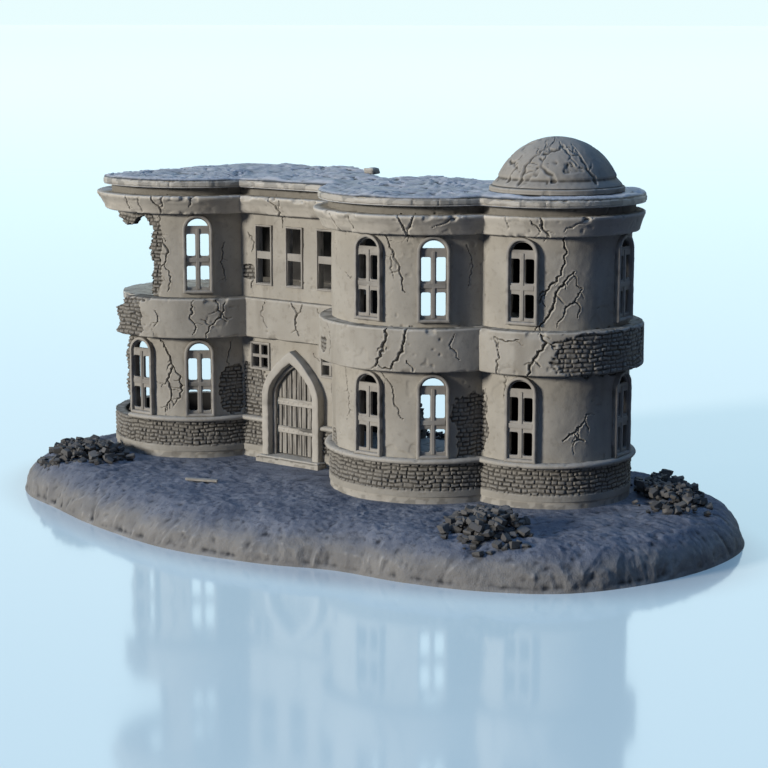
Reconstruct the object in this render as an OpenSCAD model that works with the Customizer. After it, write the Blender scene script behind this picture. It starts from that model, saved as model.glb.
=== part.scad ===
// Miniature terrain ruin for 28 mm tabletop games: a two-storey town house with
// round bays and a domed corner tower, on a rocky base. X runs along the front to
// the right, Y runs to the back, Z is up, the origin is the centre of the base.

/* [Terrain base] */
// Height of the level ground under the building
ground_z = 15.2; // [12:0.1:18]
// Height of the steep rock rim at the edge of the base
rim_h = 6.5; // [4:0.5:9]
// Width of the shoulder between the rim and the level ground
shoulder_w = 12; // [10:1:14]

/* [Ground plan] */
// Radius of the round left bay
left_bay_r = 35; // [34:0.1:36]
// Radius of the round middle bay
middle_bay_r = 37.2; // [36.5:0.1:38]
// Radius of the round tower
tower_r = 30.9; // [30:0.1:31.5]
// Front face of the straight entrance wall
front_y = 1.6; // [1:0.1:2]
// Back face of the building
back_y = 64; // [62:1:66]
// Left end of the building
left_x = -111; // [-112:1:-110]
// Right end of the straight part
right_x = 70; // [68:1:72]
// Thickness of every wall
wall_t = 3.2; // [2.8:0.1:3.4]

/* [Courses] */
// Height of the smooth foundation step
foundation_h = 2.7; // [2:0.1:3]
// Height of the brick plinth
plinth_h = 12.5; // [12:0.1:13]
// Height of the string moulding on the plinth
moulding_h = 2; // [1.5:0.1:2.2]
// Height of the ground storey wall above the moulding
ground_wall_h = 32.9; // [32.5:0.1:34]
// Height of the belt course between the storeys
belt_h = 16.3; // [15:0.1:17]
// Height of the upper storey wall
upper_wall_h = 34.2; // [34:0.1:36]
// Height of the flared cornice
cornice_h = 7.4; // [7:0.1:8]
// Height of the recessed course under the roof slab
recess_h = 3.3; // [3:0.1:3.5]
// Thickness of the roof slab
slab_h = 3.9; // [3.5:0.1:4.5]

/* [Windows and door] */
// Width of an arched window frame
window_w = 12.2; // [12:0.1:13]
// Height of an arched window frame
window_h = 32; // [31:0.1:32.2]
// Width of the border of an arched window frame
window_border = 1.3; // [1:0.1:1.5]
// How far window frames stand proud of the wall
window_proud = 1.6; // [1:0.1:2]
// X of the door's centre line
door_x = -33.5; // [-34:0.5:-33]
// Outer width of the stone door surround
surround_w = 29.6; // [29:0.1:30]
// Width of the opening inside the surround
doorway_w = 22.8; // [22:0.1:23]
// Widest angle that the door opens to
door_open_deg = 95; // [60:5:95]

/* [Dome] */
// Outer radius of the ring under the dome
dome_ring_r = 25.2; // [25:0.1:26]
// Radius of the dome at its foot
dome_r = 23.3; // [23:0.1:24]
// Height of the dome above its ring
dome_h = 17.9; // [17:0.1:19]

/* [Hidden] */
LEFT = [-95, 12.1, left_bay_r];
MIDDLE = [30.5, 4.9, middle_bay_r];
TOWER = [75.2, 20.6, tower_r];
DOME = [79.8, 18.2, dome_r];

foundation_z = ground_z;
plinth_z = foundation_z + foundation_h;
moulding_z = plinth_z + plinth_h;
ground_wall_z = moulding_z + moulding_h;
belt_z = ground_wall_z + ground_wall_h;
upper_wall_z = belt_z + belt_h;
cornice_z = upper_wall_z + upper_wall_h;
recess_z = cornice_z + cornice_h;
slab_z = recess_z + recess_h;
slab_top = slab_z + slab_h;

// How far each course stands out from the wall face.
foundation_out = 0.8;
plinth_out = 1.2;
moulding_out = 2.9;
belt_out = 5.1;
straight_belt_out = 3;
cornice_foot_out = 3.5;
cornice_lip_out = 6.8;
tower_lip_out = 4.8;
recess_out = 1.2;
slab_out = 4.9;

// Outline of the base, hand-set control points that a smooth closed curve joins.
BASE_OUTLINE = [
    [-154, -4], [-147, -38], [-128, -58], [-100, -69], [-66, -81], [-21, -90], [20, -86],
    [49, -77], [78, -75], [106, -68], [131, -53], [147, -26], [154, 8], [149, 42],
    [128, 68], [88, 84], [30, 90], [-40, 89], [-100, 80], [-138, 52]
];
curve_steps = 5;

floor_t = 3;
floor_z = upper_wall_z - floor_t - 0.6;
sash_t = 1.4;
sash_back = 0.9;
pane_x = 2.75;
pane_w = 3.5;
pane_h = 9.3;
bottom_rail = 2.4;
middle_rail = 3.7;
// Each entry is a bay, an outward direction in degrees and the foot of the opening.
GROUND_WINDOWS = [
    [LEFT, -90], [LEFT, -48], [MIDDLE, -90], [MIDDLE, -51], [TOWER, -75], [TOWER, 5]
];
UPPER_WINDOWS = [
    [LEFT, -48], [MIDDLE, -90], [MIDDLE, -51], [TOWER, -75], [TOWER, 5]
];
// Tall windows over the door and small windows beside it, as centre offsets.
TALL_OFFSETS = [-16, 0, 16];
SMALL_OFFSETS = [-18.4, 18.4];
tall_w = 8.8;
tall_h = 24.6;
tall_z = upper_wall_z + 5.2;
small_w = 10.4;
small_h = 11.6;
small_z = ground_wall_z + 19.4;
rect_proud = 0.8;
lunette_gap = 2.7;
// Upper windows stand this far above the belt course.
upper_window_lift = 1.8;
upper_window_z = upper_wall_z + upper_window_lift;
// The round-headed ways from the hall into the tower rooms.
doorway_angle = 165;
tower_doorway_w = 13;
ground_doorway_h = 40;
upper_doorway_h = 27;

spring_z = plinth_z + 24.7;
surround_rise = 19;
doorway_rise = 13.9;
surround_proud = 4;
inner_frame_w = 1.5;
inner_frame_t = 2;
inner_frame_play = 0.02;
leaf_w = doorway_w - 2 * inner_frame_w + 0.8;
leaf_rise = doorway_rise - inner_frame_w + 0.3;
leaf_t = 1.6;
leaf_y = front_y + 0.5;
leaf_z = plinth_z + 0.5;
plank_count = 8;
groove_w = 0.35;
batten_h = 3;
batten_t = 0.6;
batten_side = 0.9;
BATTEN_Z = [plinth_z + 10.5, plinth_z + 22];
pin_r = 0.45;
pin_play = 0.08;
barrel_r = 1.1;
barrel_h = 4;
strap_len = 6;
strap_t = 0.6;
bracket_t = 1;
pin_x = door_x - leaf_w / 2 - 1.3;
pin_y = leaf_y + leaf_t + 0.3;
BARREL_Z = [plinth_z + 7.5, plinth_z + 18.5];
rebate_w = 2 * (door_x - pin_x + 1.6);

// How far inside a round bay the straight courses are drawn before the bay cuts them.
bay_inset = 12;

// The doorstep's depth, and how far it passes the surround on each side.
step_d = 5.4;
step_side = 1.5;

peg_r = 0.8;
peg_play = 0.08;
peg_len = 3;
// The middle of a bay's wall at an outward direction in degrees.
function in_wall(bay, angle) = [
    bay[0] + (bay[2] - wall_t / 2) * cos(angle), bay[1] + (bay[2] - wall_t / 2) * sin(angle)
];
rear_peg = [-61, back_y - wall_t / 2];
GROUND_PEGS = [
    in_wall(LEFT, -69), in_wall(TOWER, -120), in_wall(TOWER, 90), rear_peg,
    [-8.3, front_y + wall_t / 2]
];
ROOF_PEGS = [
    in_wall(LEFT, -48), in_wall(MIDDLE, -110), in_wall(TOWER, 0), in_wall(TOWER, 90), rear_peg
];
dome_hole_r = 19.8;
dome_play = 0.3;
dome_ring_h = 2.2;
dome_shell_t = 2.4;
dome_sphere_r = (pow(dome_r, 2) + pow(dome_h, 2)) / (2 * dome_h);
// The parapet stub's near left corner on the roof, and its size.
stub_corner = [-31, 43];
stub_size = [4.5, 6, 2.6];
smooth = 144;
far = 400;

// Vertical faces of each course, as outward distance and height, from foot to top.
function straight(out, z, h) = [[out, z], [out, z + h]];
FOUNDATION = straight(foundation_out, foundation_z, foundation_h);
PLINTH = straight(plinth_out, plinth_z, plinth_h);
MOULDING = [
    [moulding_out - 0.8, moulding_z], [moulding_out, moulding_z + 0.6],
    [moulding_out, moulding_z + 1.3], [moulding_out - 1, moulding_z + moulding_h]
];
GROUND_WALL = straight(0, ground_wall_z, ground_wall_h);
BELT = straight(belt_out, belt_z, belt_h);
STRAIGHT_BELT = straight(straight_belt_out, belt_z, belt_h);
UPPER_WALL = straight(0, upper_wall_z, upper_wall_h);
function flare(foot, lip) = [
    [foot, cornice_z], [foot + 0.18 * (lip - foot), cornice_z + 1.6],
    [foot + 0.5 * (lip - foot), cornice_z + 3.8], [foot + 0.88 * (lip - foot), cornice_z + 5.6],
    [lip, cornice_z + 6.2], [lip, cornice_z + cornice_h]
];
CORNICE = flare(cornice_foot_out, cornice_lip_out);
TOWER_CORNICE = flare(cornice_foot_out - 0.8, tower_lip_out);
RECESS = straight(recess_out, recess_z, recess_h);
SLAB = straight(slab_out, slab_z, slab_h);

// A closed section of a course: its outer face and a back edge at the given depth.
function section(face, depth) = concat(
    [[-depth, face[0][1]]], face, [[-depth, face[len(face) - 1][1]]]
);

module round_course(bay, face, depth = wall_t) {
    translate([bay[0], bay[1], 0])
        rotate_extrude($fn = smooth)
            translate([bay[2], 0])
                polygon(section(face, depth));
}

// A bay's whole width, that a course can be cut against, a little taller than the
// course. A thin core is left open at the axis.
module bay_mass(bay, face) {
    top = face[len(face) - 1];
    core_r = 1;
    round_course(
        bay, concat([[face[0][0], face[0][1] - 1]], face, [[top[0], top[1] + 1]]),
        bay[2] - core_r
    );
}

// A straight course that faces outward along the given direction, from its origin.
module straight_course(face, length) {
    rotate([90, 0, -90])
        linear_extrude(length)
            polygon(section(face, wall_t));
}

// Everything inside the straight walls, where the rooms are open.
module room_block() {
    translate([left_x + wall_t, front_y + wall_t, -1])
        cube([right_x - left_x - 2 * wall_t, back_y - front_y - 2 * wall_t, far]);
}

// An upright prism whose outline is drawn on the X and Z axes.
module upright(points, y0 = -far / 2, y1 = far / 2) {
    translate([0, y1, 0])
        rotate([90, 0, 0])
            linear_extrude(y1 - y0)
                polygon(points);
}

module left_bay_course(face) {
    difference() {
        round_course(LEFT, face);
        room_block();
    }
}

// A course may meet its neighbours' courses in a different face, such as a deeper belt.
module middle_bay_course(face, tower_face = []) {
    difference() {
        round_course(MIDDLE, face);
        room_block();
        bay_mass(TOWER, len(tower_face) > 0 ? tower_face : face);
        translate([MIDDLE[0] - far / 2, front_y + wall_t, 0])
            cube([far, far, far]);
    }
}

module entrance_course(face, bay_face = []) {
    meeting = len(bay_face) > 0 ? bay_face : face;
    difference() {
        translate([MIDDLE[0] - bay_inset, front_y, 0])
            straight_course(face, MIDDLE[0] - LEFT[0] - 2 * bay_inset);
        bay_mass(LEFT, meeting);
        bay_mass(MIDDLE, meeting);
    }
}

module tower_course(face) {
    round_course(TOWER, face);
}

// The left end, the back and the short right end join in square corners.
module rear_course(face, tower_face = [], left_face = []) {
    reach = max([for (p = face) p[0]]);
    difference() {
        union() {
            translate([left_x - reach, back_y, 0])
                rotate([0, 0, 180])
                    straight_course(face, right_x - left_x + 2 * reach);
            translate([left_x, LEFT[1] + bay_inset, 0])
                rotate([0, 0, -90])
                    straight_course(face, back_y - wall_t - LEFT[1] - bay_inset);
            translate([right_x, back_y - wall_t, 0])
                rotate([0, 0, 90])
                    straight_course(face, back_y - wall_t - TOWER[1] - bay_inset);
        }
        bay_mass(TOWER, len(tower_face) > 0 ? tower_face : face);
        bay_mass(LEFT, len(left_face) > 0 ? left_face : face);
    }
}

// Places a piece on a bay's face: X along the face, negative Y outward.
module on_bay(bay, angle, z) {
    translate([bay[0], bay[1], 0])
        rotate([0, 0, angle + 90])
            translate([0, -bay[2], z])
                children();
}

module on_front(x, z) {
    translate([x, front_y, z])
        children();
}

// Extrudes a face drawing from a depth inside the wall to a height above it.
module through_wall(proud, depth) {
    translate([0, depth, 0])
        rotate([90, 0, 0])
            linear_extrude(proud + depth)
                children();
}

module round_headed(w, h) {
    translate([-w / 2, 0])
        square([w, h - w / 2]);
    translate([0, h - w / 2])
        circle(d = w, $fn = 48);
}

module centred_rect(w, h) {
    translate([-w / 2, 0])
        square([w, h]);
}

module arched_opening() {
    through_wall(far / 20, wall_t + 2)
        round_headed(window_w, window_h);
}

module arched_frame() {
    through_wall(window_proud, wall_t)
        difference() {
            round_headed(window_w, window_h);
            translate([0, window_border])
                round_headed(window_w - 2 * window_border, window_h - 2 * window_border);
        }
}

module arched_sash() {
    inner_w = window_w - 2 * window_border;
    head_z = window_h - window_w / 2;
    lunette_z = bottom_rail + 2 * pane_h + middle_rail + lunette_gap;
    translate([0, sash_back, 0])
        through_wall(0, sash_t)
            difference() {
                translate([0, window_border])
                    round_headed(inner_w, window_h - 2 * window_border);
                for (side = [-1, 1], row = [0, 1])
                    translate([side * pane_x, bottom_rail + row * (pane_h + middle_rail)])
                        centred_rect(pane_w, pane_h);
                intersection() {
                    translate([0, head_z])
                        circle(r = inner_w / 2 - 0.4, $fn = 48);
                    translate([0, lunette_z])
                        centred_rect(inner_w, inner_w);
                }
            }
}

module window_openings(windows, z, bay) {
    for (w = windows)
        if (w[0] == bay)
            on_bay(w[0], w[1], z)
                arched_opening();
}

module grid_window(w, h, columns, rows, border, bar) {
    cell_w = (w - 2 * border - (columns - 1) * bar) / columns;
    cell_h = (h - 2 * border - (rows - 1) * bar) / rows;
    through_wall(rect_proud, wall_t)
        difference() {
            centred_rect(w, h);
            for (c = [0:columns - 1], r = [0:rows - 1])
                translate([-w / 2 + border + c * (cell_w + bar), border + r * (cell_h + bar)])
                    square([cell_w, cell_h]);
        }
}

module rect_opening(w, h) {
    through_wall(far / 20, wall_t + 2)
        centred_rect(w, h);
}

// A pointed arch of half width w / 2, straight to the spring and rising above it.
module pointed(w, spring, rise) {
    r = (pow(rise, 2) + pow(w / 2, 2)) / w;
    translate([-w / 2, 0])
        square([w, spring]);
    intersection() {
        translate([w / 2 - r, spring])
            circle(r = r, $fn = smooth);
        translate([r - w / 2, spring])
            circle(r = r, $fn = smooth);
        translate([-w / 2, spring - 1])
            square([w, rise + 2]);
    }
}

// Loose stones in a heap: blocks on a jittered grid, tallest in the middle.
module rubble(centre, turn, size, cell, tallest, seed) {
    columns = floor(size[0] / cell);
    rows = floor(size[1] / cell);
    dice = rands(0, 1, 5 * columns * rows, seed);
    translate([centre[0], centre[1], ground_z])
        rotate([0, 0, turn])
            for (c = [0:columns - 1], r = [0:rows - 1]) {
                k = 5 * (c * rows + r);
                u = (c + 0.5) / columns * 2 - 1;
                v = (r + 0.5) / rows * 2 - 1;
                spread = pow(u, 2) + pow(v, 2);
                if (spread < 0.75 + 0.35 * dice[k])
                    translate([u * size[0] / 2, v * size[1] / 2, 0])
                        rotate([0, 0, 90 * dice[k + 1]])
                            stone(
                                cell * (0.42 + 0.24 * dice[k + 2]),
                                cell * (0.42 + 0.24 * dice[k + 3]),
                                (1 - spread) * tallest * (0.5 + 0.5 * dice[k + 4])
                            );
            }
}

module stone(w, d, h) {
    translate([-w / 2, -d / 2, 0])
        cube([w, d, max(h, 0.8)]);
}

module peg_holes(places, top) {
    for (p = places)
        translate([p[0], p[1], top - peg_len - 0.3])
            cylinder(r = peg_r + peg_play, h = peg_len + 1, $fn = 32);
}

module pegs(places, top) {
    for (p = places)
        translate([p[0], p[1], top - peg_len])
            cylinder(r = peg_r, h = peg_len, $fn = 32);
}

// Ragged gaps left by the damage, drawn as seen from the front.
GROUND_LEFT_GONE = [
    [-200, 0], [-104, 0], [-105, 38], [-107.5, 44], [-105.5, 50], [-107, 56], [-104, 61],
    [-105, 70], [-200, 70]
];
UPPER_LEFT_GONE = [
    [-200, 70], [-88.5, 70], [-90, 88], [-88.5, 94], [-90.2, 101], [-88.8, 107],
    [-90.5, 112], [-95, 114.5], [-100, 112.5], [-107, 112], [-111, 115], [-114, 118],
    [-200, 118]
];
BELT_LEFT_GONE = [
    [-200, 60], [-103, 60], [-106, 67], [-104.5, 72], [-106.5, 76], [-101, 79], [-99, 84],
    [-200, 84]
];
REAR_GROUND_GONE = [
    [-16, 0], [-14, 24], [-18, 33], [-15, 45], [-20, 55], [-26, 70], [34, 70], [28, 58],
    [18, 50], [21, 40], [13, 31], [15, 22], [10, 0]
];
REAR_UPPER_GONE = [
    [-28, 60], [-31, 72], [-38, 80], [-36, 92], [-40, 104], [-35, 116], [-38, 140], [52, 140],
    [50, 116], [55, 100], [48, 88], [50, 74], [40, 60]
];
ROOF_KEPT = [
    [-115, -40], [-116.5, -8], [-115, 20], [-117, 48], [-116, 70], [-92, 68], [-72, 64],
    [-55, 66], [-35, 52], [-26, 43], [-14, 37], [0, 39], [8, 45], [24, 52], [40, 50],
    [52, 60], [78, 69], [120, 69], [120, -40]
];
UPPER_FLOOR_KEPT = [
    [-128, 6], [-126, 20], [-128, 66], [-38, 66], [-43, 52], [-36, 40], [-40, 24], [-30, 10],
    [-30, -40], [-108, -40], [-108, -22], [-118, -12]
];

function smooth_point(a, b, c, d, t) =
    b + 0.5 * t * (c - a + t * (2 * a - 5 * b + 4 * c - d + t * (3 * (b - c) + d - a)));
function smooth_loop(points, steps) = [
    for (i = [0:len(points) - 1], s = [0:steps - 1])
        let (n = len(points))
            smooth_point(points[(i + n - 1) % n], points[i], points[(i + 1) % n],
                points[(i + 2) % n], s / steps)
];
function pull_in(p, d) = p * (1 - d / norm(p));

// Rings of the base from foot to level ground, as inward distance and height.
BASE_RINGS = [
    [0, 0], [1.5, rim_h], [0.3 * shoulder_w, ground_z - 4.4],
    [0.6 * shoulder_w, ground_z - 1.5], [shoulder_w, ground_z]
];

module terrain_base() color("slategray") {
    loop = smooth_loop(BASE_OUTLINE, curve_steps);
    n = len(loop);
    rings = len(BASE_RINGS);
    points = [for (ring = BASE_RINGS, p = loop) [each pull_in(p, ring[0]), ring[1]]];
    sides = [
        for (r = [0:rings - 2], i = [0:n - 1])
            let (j = (i + 1) % n)
                each [[r * n + i, (r + 1) * n + i, r * n + j],
                    [r * n + j, (r + 1) * n + i, (r + 1) * n + j]]
    ];
    polyhedron(
        points,
        concat(sides, [[for (i = [0:n - 1]) i], [for (i = [n - 1:-1:0]) (rings - 1) * n + i]])
    );
}

module foundation() color("tan")
    translate([0, 0, foundation_z])
        linear_extrude(foundation_h)
            building_plan(foundation_out);

module doorstep() color("tan") {
    step_w = surround_w + 2 * step_side;
    translate([door_x - step_w / 2, front_y - foundation_out - step_d, ground_z])
        cube([step_w, step_d, foundation_h]);
}

module rubble_left() color("dimgray")
    rubble(centre = [-112, -43], turn = 128, size = [40, 22], cell = 3.4, tallest = 6, seed = 11);

module rubble_front() color("dimgray")
    rubble(centre = [94, -43], turn = 4, size = [46, 21], cell = 3.4, tallest = 5.5, seed = 23);

module rubble_right() color("dimgray")
    rubble(centre = [115, 40], turn = 132, size = [56, 18], cell = 3.4, tallest = 4.5, seed = 37);

module rubble_rear() color("dimgray")
    rubble(centre = [-16, 72.6], turn = 0, size = [44, 8.5], cell = 2.8, tallest = 3.5, seed = 41);

// A loose plank from its low end: where it starts, its slope and turn, and its size.
module plank(start, slope, turn, size)
    translate(start)
        rotate([0, -slope, turn])
            cube(size);

module plank_leaning() color("burlywood")
    plank([-123, -17.5, ground_z + 0.7], slope = 4, turn = -36, size = [20, 2.2, 0.9]);

module plank_lying() color("burlywood")
    plank([-46, -51, ground_z], slope = 0, turn = 20, size = [13, 2, 0.9]);

module door_gap() {
    on_front(door_x, plinth_z - 0.01)
        through_wall(far / 20, wall_t + 2)
            pointed(surround_w, spring_z - plinth_z, surround_rise);
}

module plinth_left_bay() color("gray") left_bay_course(PLINTH);
module plinth_middle_bay() color("gray") middle_bay_course(PLINTH);
module plinth_tower() color("gray")
    difference() {
        tower_course(PLINTH);
        tower_doorway(plinth_z, ground_doorway_h);
    }
module plinth_entrance() color("gray")
    difference() {
        entrance_course(PLINTH);
        door_gap();
    }
module plinth_rear() color("gray")
    difference() {
        rear_course(PLINTH);
        upright(REAR_GROUND_GONE, back_y - 10);
    }

module moulding_left_bay() color("tan")
    difference() {
        left_bay_course(MOULDING);
        upright([[-200, 0], [-101, 0], [-101, 60], [-200, 60]]);
    }
module moulding_middle_bay() color("tan") middle_bay_course(MOULDING);
module moulding_tower() color("tan")
    difference() {
        tower_course(MOULDING);
        tower_doorway(plinth_z, ground_doorway_h);
    }
module moulding_entrance() color("tan")
    difference() {
        entrance_course(MOULDING);
        door_gap();
    }
module moulding_rear() color("tan")
    difference() {
        rear_course(MOULDING);
        upright(REAR_GROUND_GONE, back_y - 10);
    }

module ground_wall_left_bay() color("tan")
    difference() {
        left_bay_course(GROUND_WALL);
        window_openings(GROUND_WINDOWS, ground_wall_z - 0.01, LEFT);
        upright(GROUND_LEFT_GONE);
        peg_holes(GROUND_PEGS, belt_z);
    }
module ground_wall_middle_bay() color("tan")
    difference() {
        middle_bay_course(GROUND_WALL);
        window_openings(GROUND_WINDOWS, ground_wall_z - 0.01, MIDDLE);
        peg_holes(GROUND_PEGS, belt_z);
    }
module ground_wall_tower() color("tan")
    difference() {
        tower_course(GROUND_WALL);
        window_openings(GROUND_WINDOWS, ground_wall_z - 0.01, TOWER);
        tower_doorway(plinth_z, ground_doorway_h);
        peg_holes(GROUND_PEGS, belt_z);
    }
module ground_wall_entrance() color("tan")
    difference() {
        entrance_course(GROUND_WALL);
        door_gap();
        for (x = SMALL_OFFSETS)
            on_front(door_x + x, small_z)
                rect_opening(small_w, small_h);
        peg_holes(GROUND_PEGS, belt_z);
    }
module ground_wall_rear() color("tan")
    difference() {
        rear_course(GROUND_WALL);
        upright(REAR_GROUND_GONE, back_y - 10);
        peg_holes(GROUND_PEGS, belt_z);
    }

// The way from the hall into the tower room.
module tower_doorway(z, h) {
    on_bay(TOWER, doorway_angle, z - 1)
        through_wall(far / 20, wall_t + 2)
            round_headed(tower_doorway_w, h + 1);
}

module ground_window_frames() color("dimgray")
    for (w = GROUND_WINDOWS)
        on_bay(w[0], w[1], ground_wall_z)
            arched_frame();
module ground_window_sashes() color("gray")
    for (w = GROUND_WINDOWS)
        on_bay(w[0], w[1], ground_wall_z)
            arched_sash();
module small_windows() color("gray")
    for (x = SMALL_OFFSETS)
        on_front(door_x + x, small_z)
            grid_window(small_w, small_h, 2, 2, 1.2, 1.2);

module door_surround() color("tan")
    on_front(door_x, plinth_z)
        difference() {
            through_wall(surround_proud, wall_t)
                pointed(surround_w, spring_z - plinth_z, surround_rise);
            through_wall(surround_proud + 1, 0)
                translate([0, -0.01])
                    pointed(doorway_w, spring_z - plinth_z, doorway_rise);
            through_wall(0, wall_t + 1)
                translate([0, -0.01])
                    pointed(rebate_w, spring_z - plinth_z, doorway_rise + 0.8);
        }
module door_inner_frame() color("dimgray")
    on_front(door_x, plinth_z)
        difference() {
            through_wall(inner_frame_t, 0)
                pointed(
                    doorway_w - 2 * inner_frame_play, spring_z - plinth_z,
                    doorway_rise - 2 * inner_frame_play
                );
            through_wall(inner_frame_t + 1, 1)
                translate([0, -0.01])
                    pointed(
                        doorway_w - 2 * inner_frame_w, spring_z - plinth_z,
                        doorway_rise - inner_frame_w - 0.3
                    );
        }
// Two pins on small brackets that reach out of the left jamb.
module door_hinge_pins() color("darkslategray")
    for (z = BARREL_Z) {
        bracket_w = pin_x - (door_x - rebate_w / 2) + 0.6;
        translate([pin_x + 0.6 - bracket_w, pin_y - 0.6, z - 1.2])
            cube([bracket_w, 1.2, bracket_t]);
        translate([pin_x, pin_y, z - 0.7])
            cylinder(r = pin_r, h = barrel_h, $fn = 32);
    }

module door_leaf() color("rosybrown")
    difference() {
        translate([door_x, leaf_y, leaf_z])
            through_wall(0, leaf_t)
                pointed(leaf_w, spring_z - leaf_z, leaf_rise);
        for (i = [1:plank_count - 1])
            translate([door_x - leaf_w / 2 + i * leaf_w / plank_count, leaf_y - 1, leaf_z - 1])
                translate([-groove_w / 2, 0, 0])
                    cube([groove_w, 1.5, 60]);
    }
module door_battens() color("tan")
    for (z = BATTEN_Z)
        translate([door_x - leaf_w / 2 + batten_side, leaf_y - batten_t, z - batten_h / 2])
            cube([leaf_w - 2 * batten_side, batten_t, batten_h]);
module door_hinge_barrels() color("darkslategray")
    for (z = BARREL_Z)
        difference() {
            union() {
                translate([pin_x, pin_y, z])
                    cylinder(r = barrel_r, h = barrel_h, $fn = 48);
                translate([pin_x, leaf_y + leaf_t, z + 1])
                    cube([strap_len, strap_t, barrel_h - 2]);
            }
            translate([pin_x, pin_y, z - 1])
                cylinder(r = pin_r + pin_play, h = barrel_h + 2, $fn = 48);
        }

module belt_left_bay() color("tan")
    difference() {
        left_bay_course(BELT);
        upright(BELT_LEFT_GONE);
    }
module belt_entrance() color("tan") entrance_course(STRAIGHT_BELT, BELT);
module belt_middle_bay() color("tan") middle_bay_course(BELT);
module belt_tower() color("tan") tower_course(BELT);
module belt_rear() color("tan")
    difference() {
        rear_course(STRAIGHT_BELT, BELT, BELT);
        upright(REAR_UPPER_GONE, back_y - 10);
        upright(REAR_GROUND_GONE, back_y - 10);
    }

module upper_floor() color("slategray")
    intersection() {
        translate([0, 0, floor_z])
            linear_extrude(floor_t)
                polygon(UPPER_FLOOR_KEPT);
        union() {
            translate([left_x + wall_t, front_y + wall_t, floor_z - 1])
                cube([far, back_y - front_y - 2 * wall_t, floor_t + 2]);
            translate([LEFT[0], LEFT[1], floor_z - 1])
                cylinder(r = left_bay_r - wall_t, h = floor_t + 2, $fn = smooth);
        }
    }
module tower_floor() color("slategray")
    translate([TOWER[0], TOWER[1], floor_z])
        cylinder(r = tower_r - wall_t, h = floor_t, $fn = smooth);

module upper_wall_left_bay() color("tan")
    difference() {
        left_bay_course(UPPER_WALL);
        window_openings(UPPER_WINDOWS, upper_window_z, LEFT);
        upright(UPPER_LEFT_GONE);
    }
module upper_wall_entrance() color("tan")
    difference() {
        entrance_course(UPPER_WALL);
        for (x = TALL_OFFSETS)
            on_front(door_x + x, tall_z)
                rect_opening(tall_w, tall_h);
    }
module upper_wall_middle_bay() color("tan")
    difference() {
        middle_bay_course(UPPER_WALL);
        window_openings(UPPER_WINDOWS, upper_window_z, MIDDLE);
    }
module upper_wall_tower() color("tan")
    difference() {
        tower_course(UPPER_WALL);
        window_openings(UPPER_WINDOWS, upper_window_z, TOWER);
        tower_doorway(upper_wall_z, upper_doorway_h);
    }
module upper_wall_rear() color("tan")
    difference() {
        rear_course(UPPER_WALL);
        upright(REAR_UPPER_GONE, back_y - 10);
    }

module upper_window_frames() color("dimgray")
    for (w = UPPER_WINDOWS)
        on_bay(w[0], w[1], upper_window_z)
            arched_frame();
module upper_window_sashes() color("gray")
    for (w = UPPER_WINDOWS)
        on_bay(w[0], w[1], upper_window_z)
            arched_sash();
module tall_windows() color("gray")
    for (x = TALL_OFFSETS)
        on_front(door_x + x, tall_z)
            grid_window(tall_w, tall_h, 1, 2, 0.8, 3);

module cornice_left_bay() color("tan")
    difference() {
        left_bay_course(CORNICE);
        peg_holes(ROOF_PEGS, recess_z);
    }
module cornice_entrance() color("tan") entrance_course(CORNICE);
module cornice_middle_bay() color("tan")
    difference() {
        middle_bay_course(CORNICE, TOWER_CORNICE);
        peg_holes(ROOF_PEGS, recess_z);
    }
module cornice_tower() color("tan")
    difference() {
        tower_course(TOWER_CORNICE);
        peg_holes(ROOF_PEGS, recess_z);
    }
module cornice_rear() color("tan")
    difference() {
        rear_course(CORNICE, TOWER_CORNICE);
        upright(REAR_UPPER_GONE, back_y - 10);
        peg_holes(ROOF_PEGS, recess_z);
    }

module upper_storey_pegs() color("silver") pegs(GROUND_PEGS, belt_z);

// The plan of a solid layer that stands out from the wall face by the given amount.
module building_plan(out) {
    for (bay = [LEFT, MIDDLE, TOWER])
        translate([bay[0], bay[1]])
            circle(r = bay[2] + out, $fn = smooth);
    translate([left_x - out, front_y - out])
        square([right_x - left_x + 2 * out, back_y - front_y + 2 * out]);
}

module recessed_course() color("dimgray")
    difference() {
        intersection() {
            translate([0, 0, recess_z])
                linear_extrude(recess_h)
                    building_plan(recess_out);
            translate([0, 0, recess_z - 1])
                linear_extrude(recess_h + 2)
                    polygon(ROOF_KEPT);
        }
        for (bay = [LEFT, MIDDLE, TOWER])
            translate([bay[0], bay[1], recess_z - 1])
                cylinder(r = bay[2] - wall_t, h = recess_h + 2, $fn = smooth);
        translate([0, 0, recess_z - 1])
            linear_extrude(recess_h + 2)
                translate([left_x + wall_t, front_y + wall_t])
                    square([
                        right_x - left_x - 2 * wall_t, back_y - front_y - 2 * wall_t
                    ]);
    }

module roof_slab() color("lightsteelblue")
    difference() {
        intersection() {
            translate([0, 0, slab_z])
                linear_extrude(slab_h)
                    building_plan(slab_out);
            translate([0, 0, slab_z - 1])
                linear_extrude(slab_h + 2)
                    polygon(ROOF_KEPT);
        }
        translate([DOME[0], DOME[1], slab_z - 1])
            cylinder(r = dome_hole_r, h = slab_h + 2, $fn = smooth);
    }
// A broken lump of the old parapet, left standing at the torn rear edge.
module parapet_stub() color("dimgray")
    translate(concat(stub_corner, [slab_top]))
        cube(stub_size);
module roof_pegs() color("silver") pegs(ROOF_PEGS, recess_z);

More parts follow.
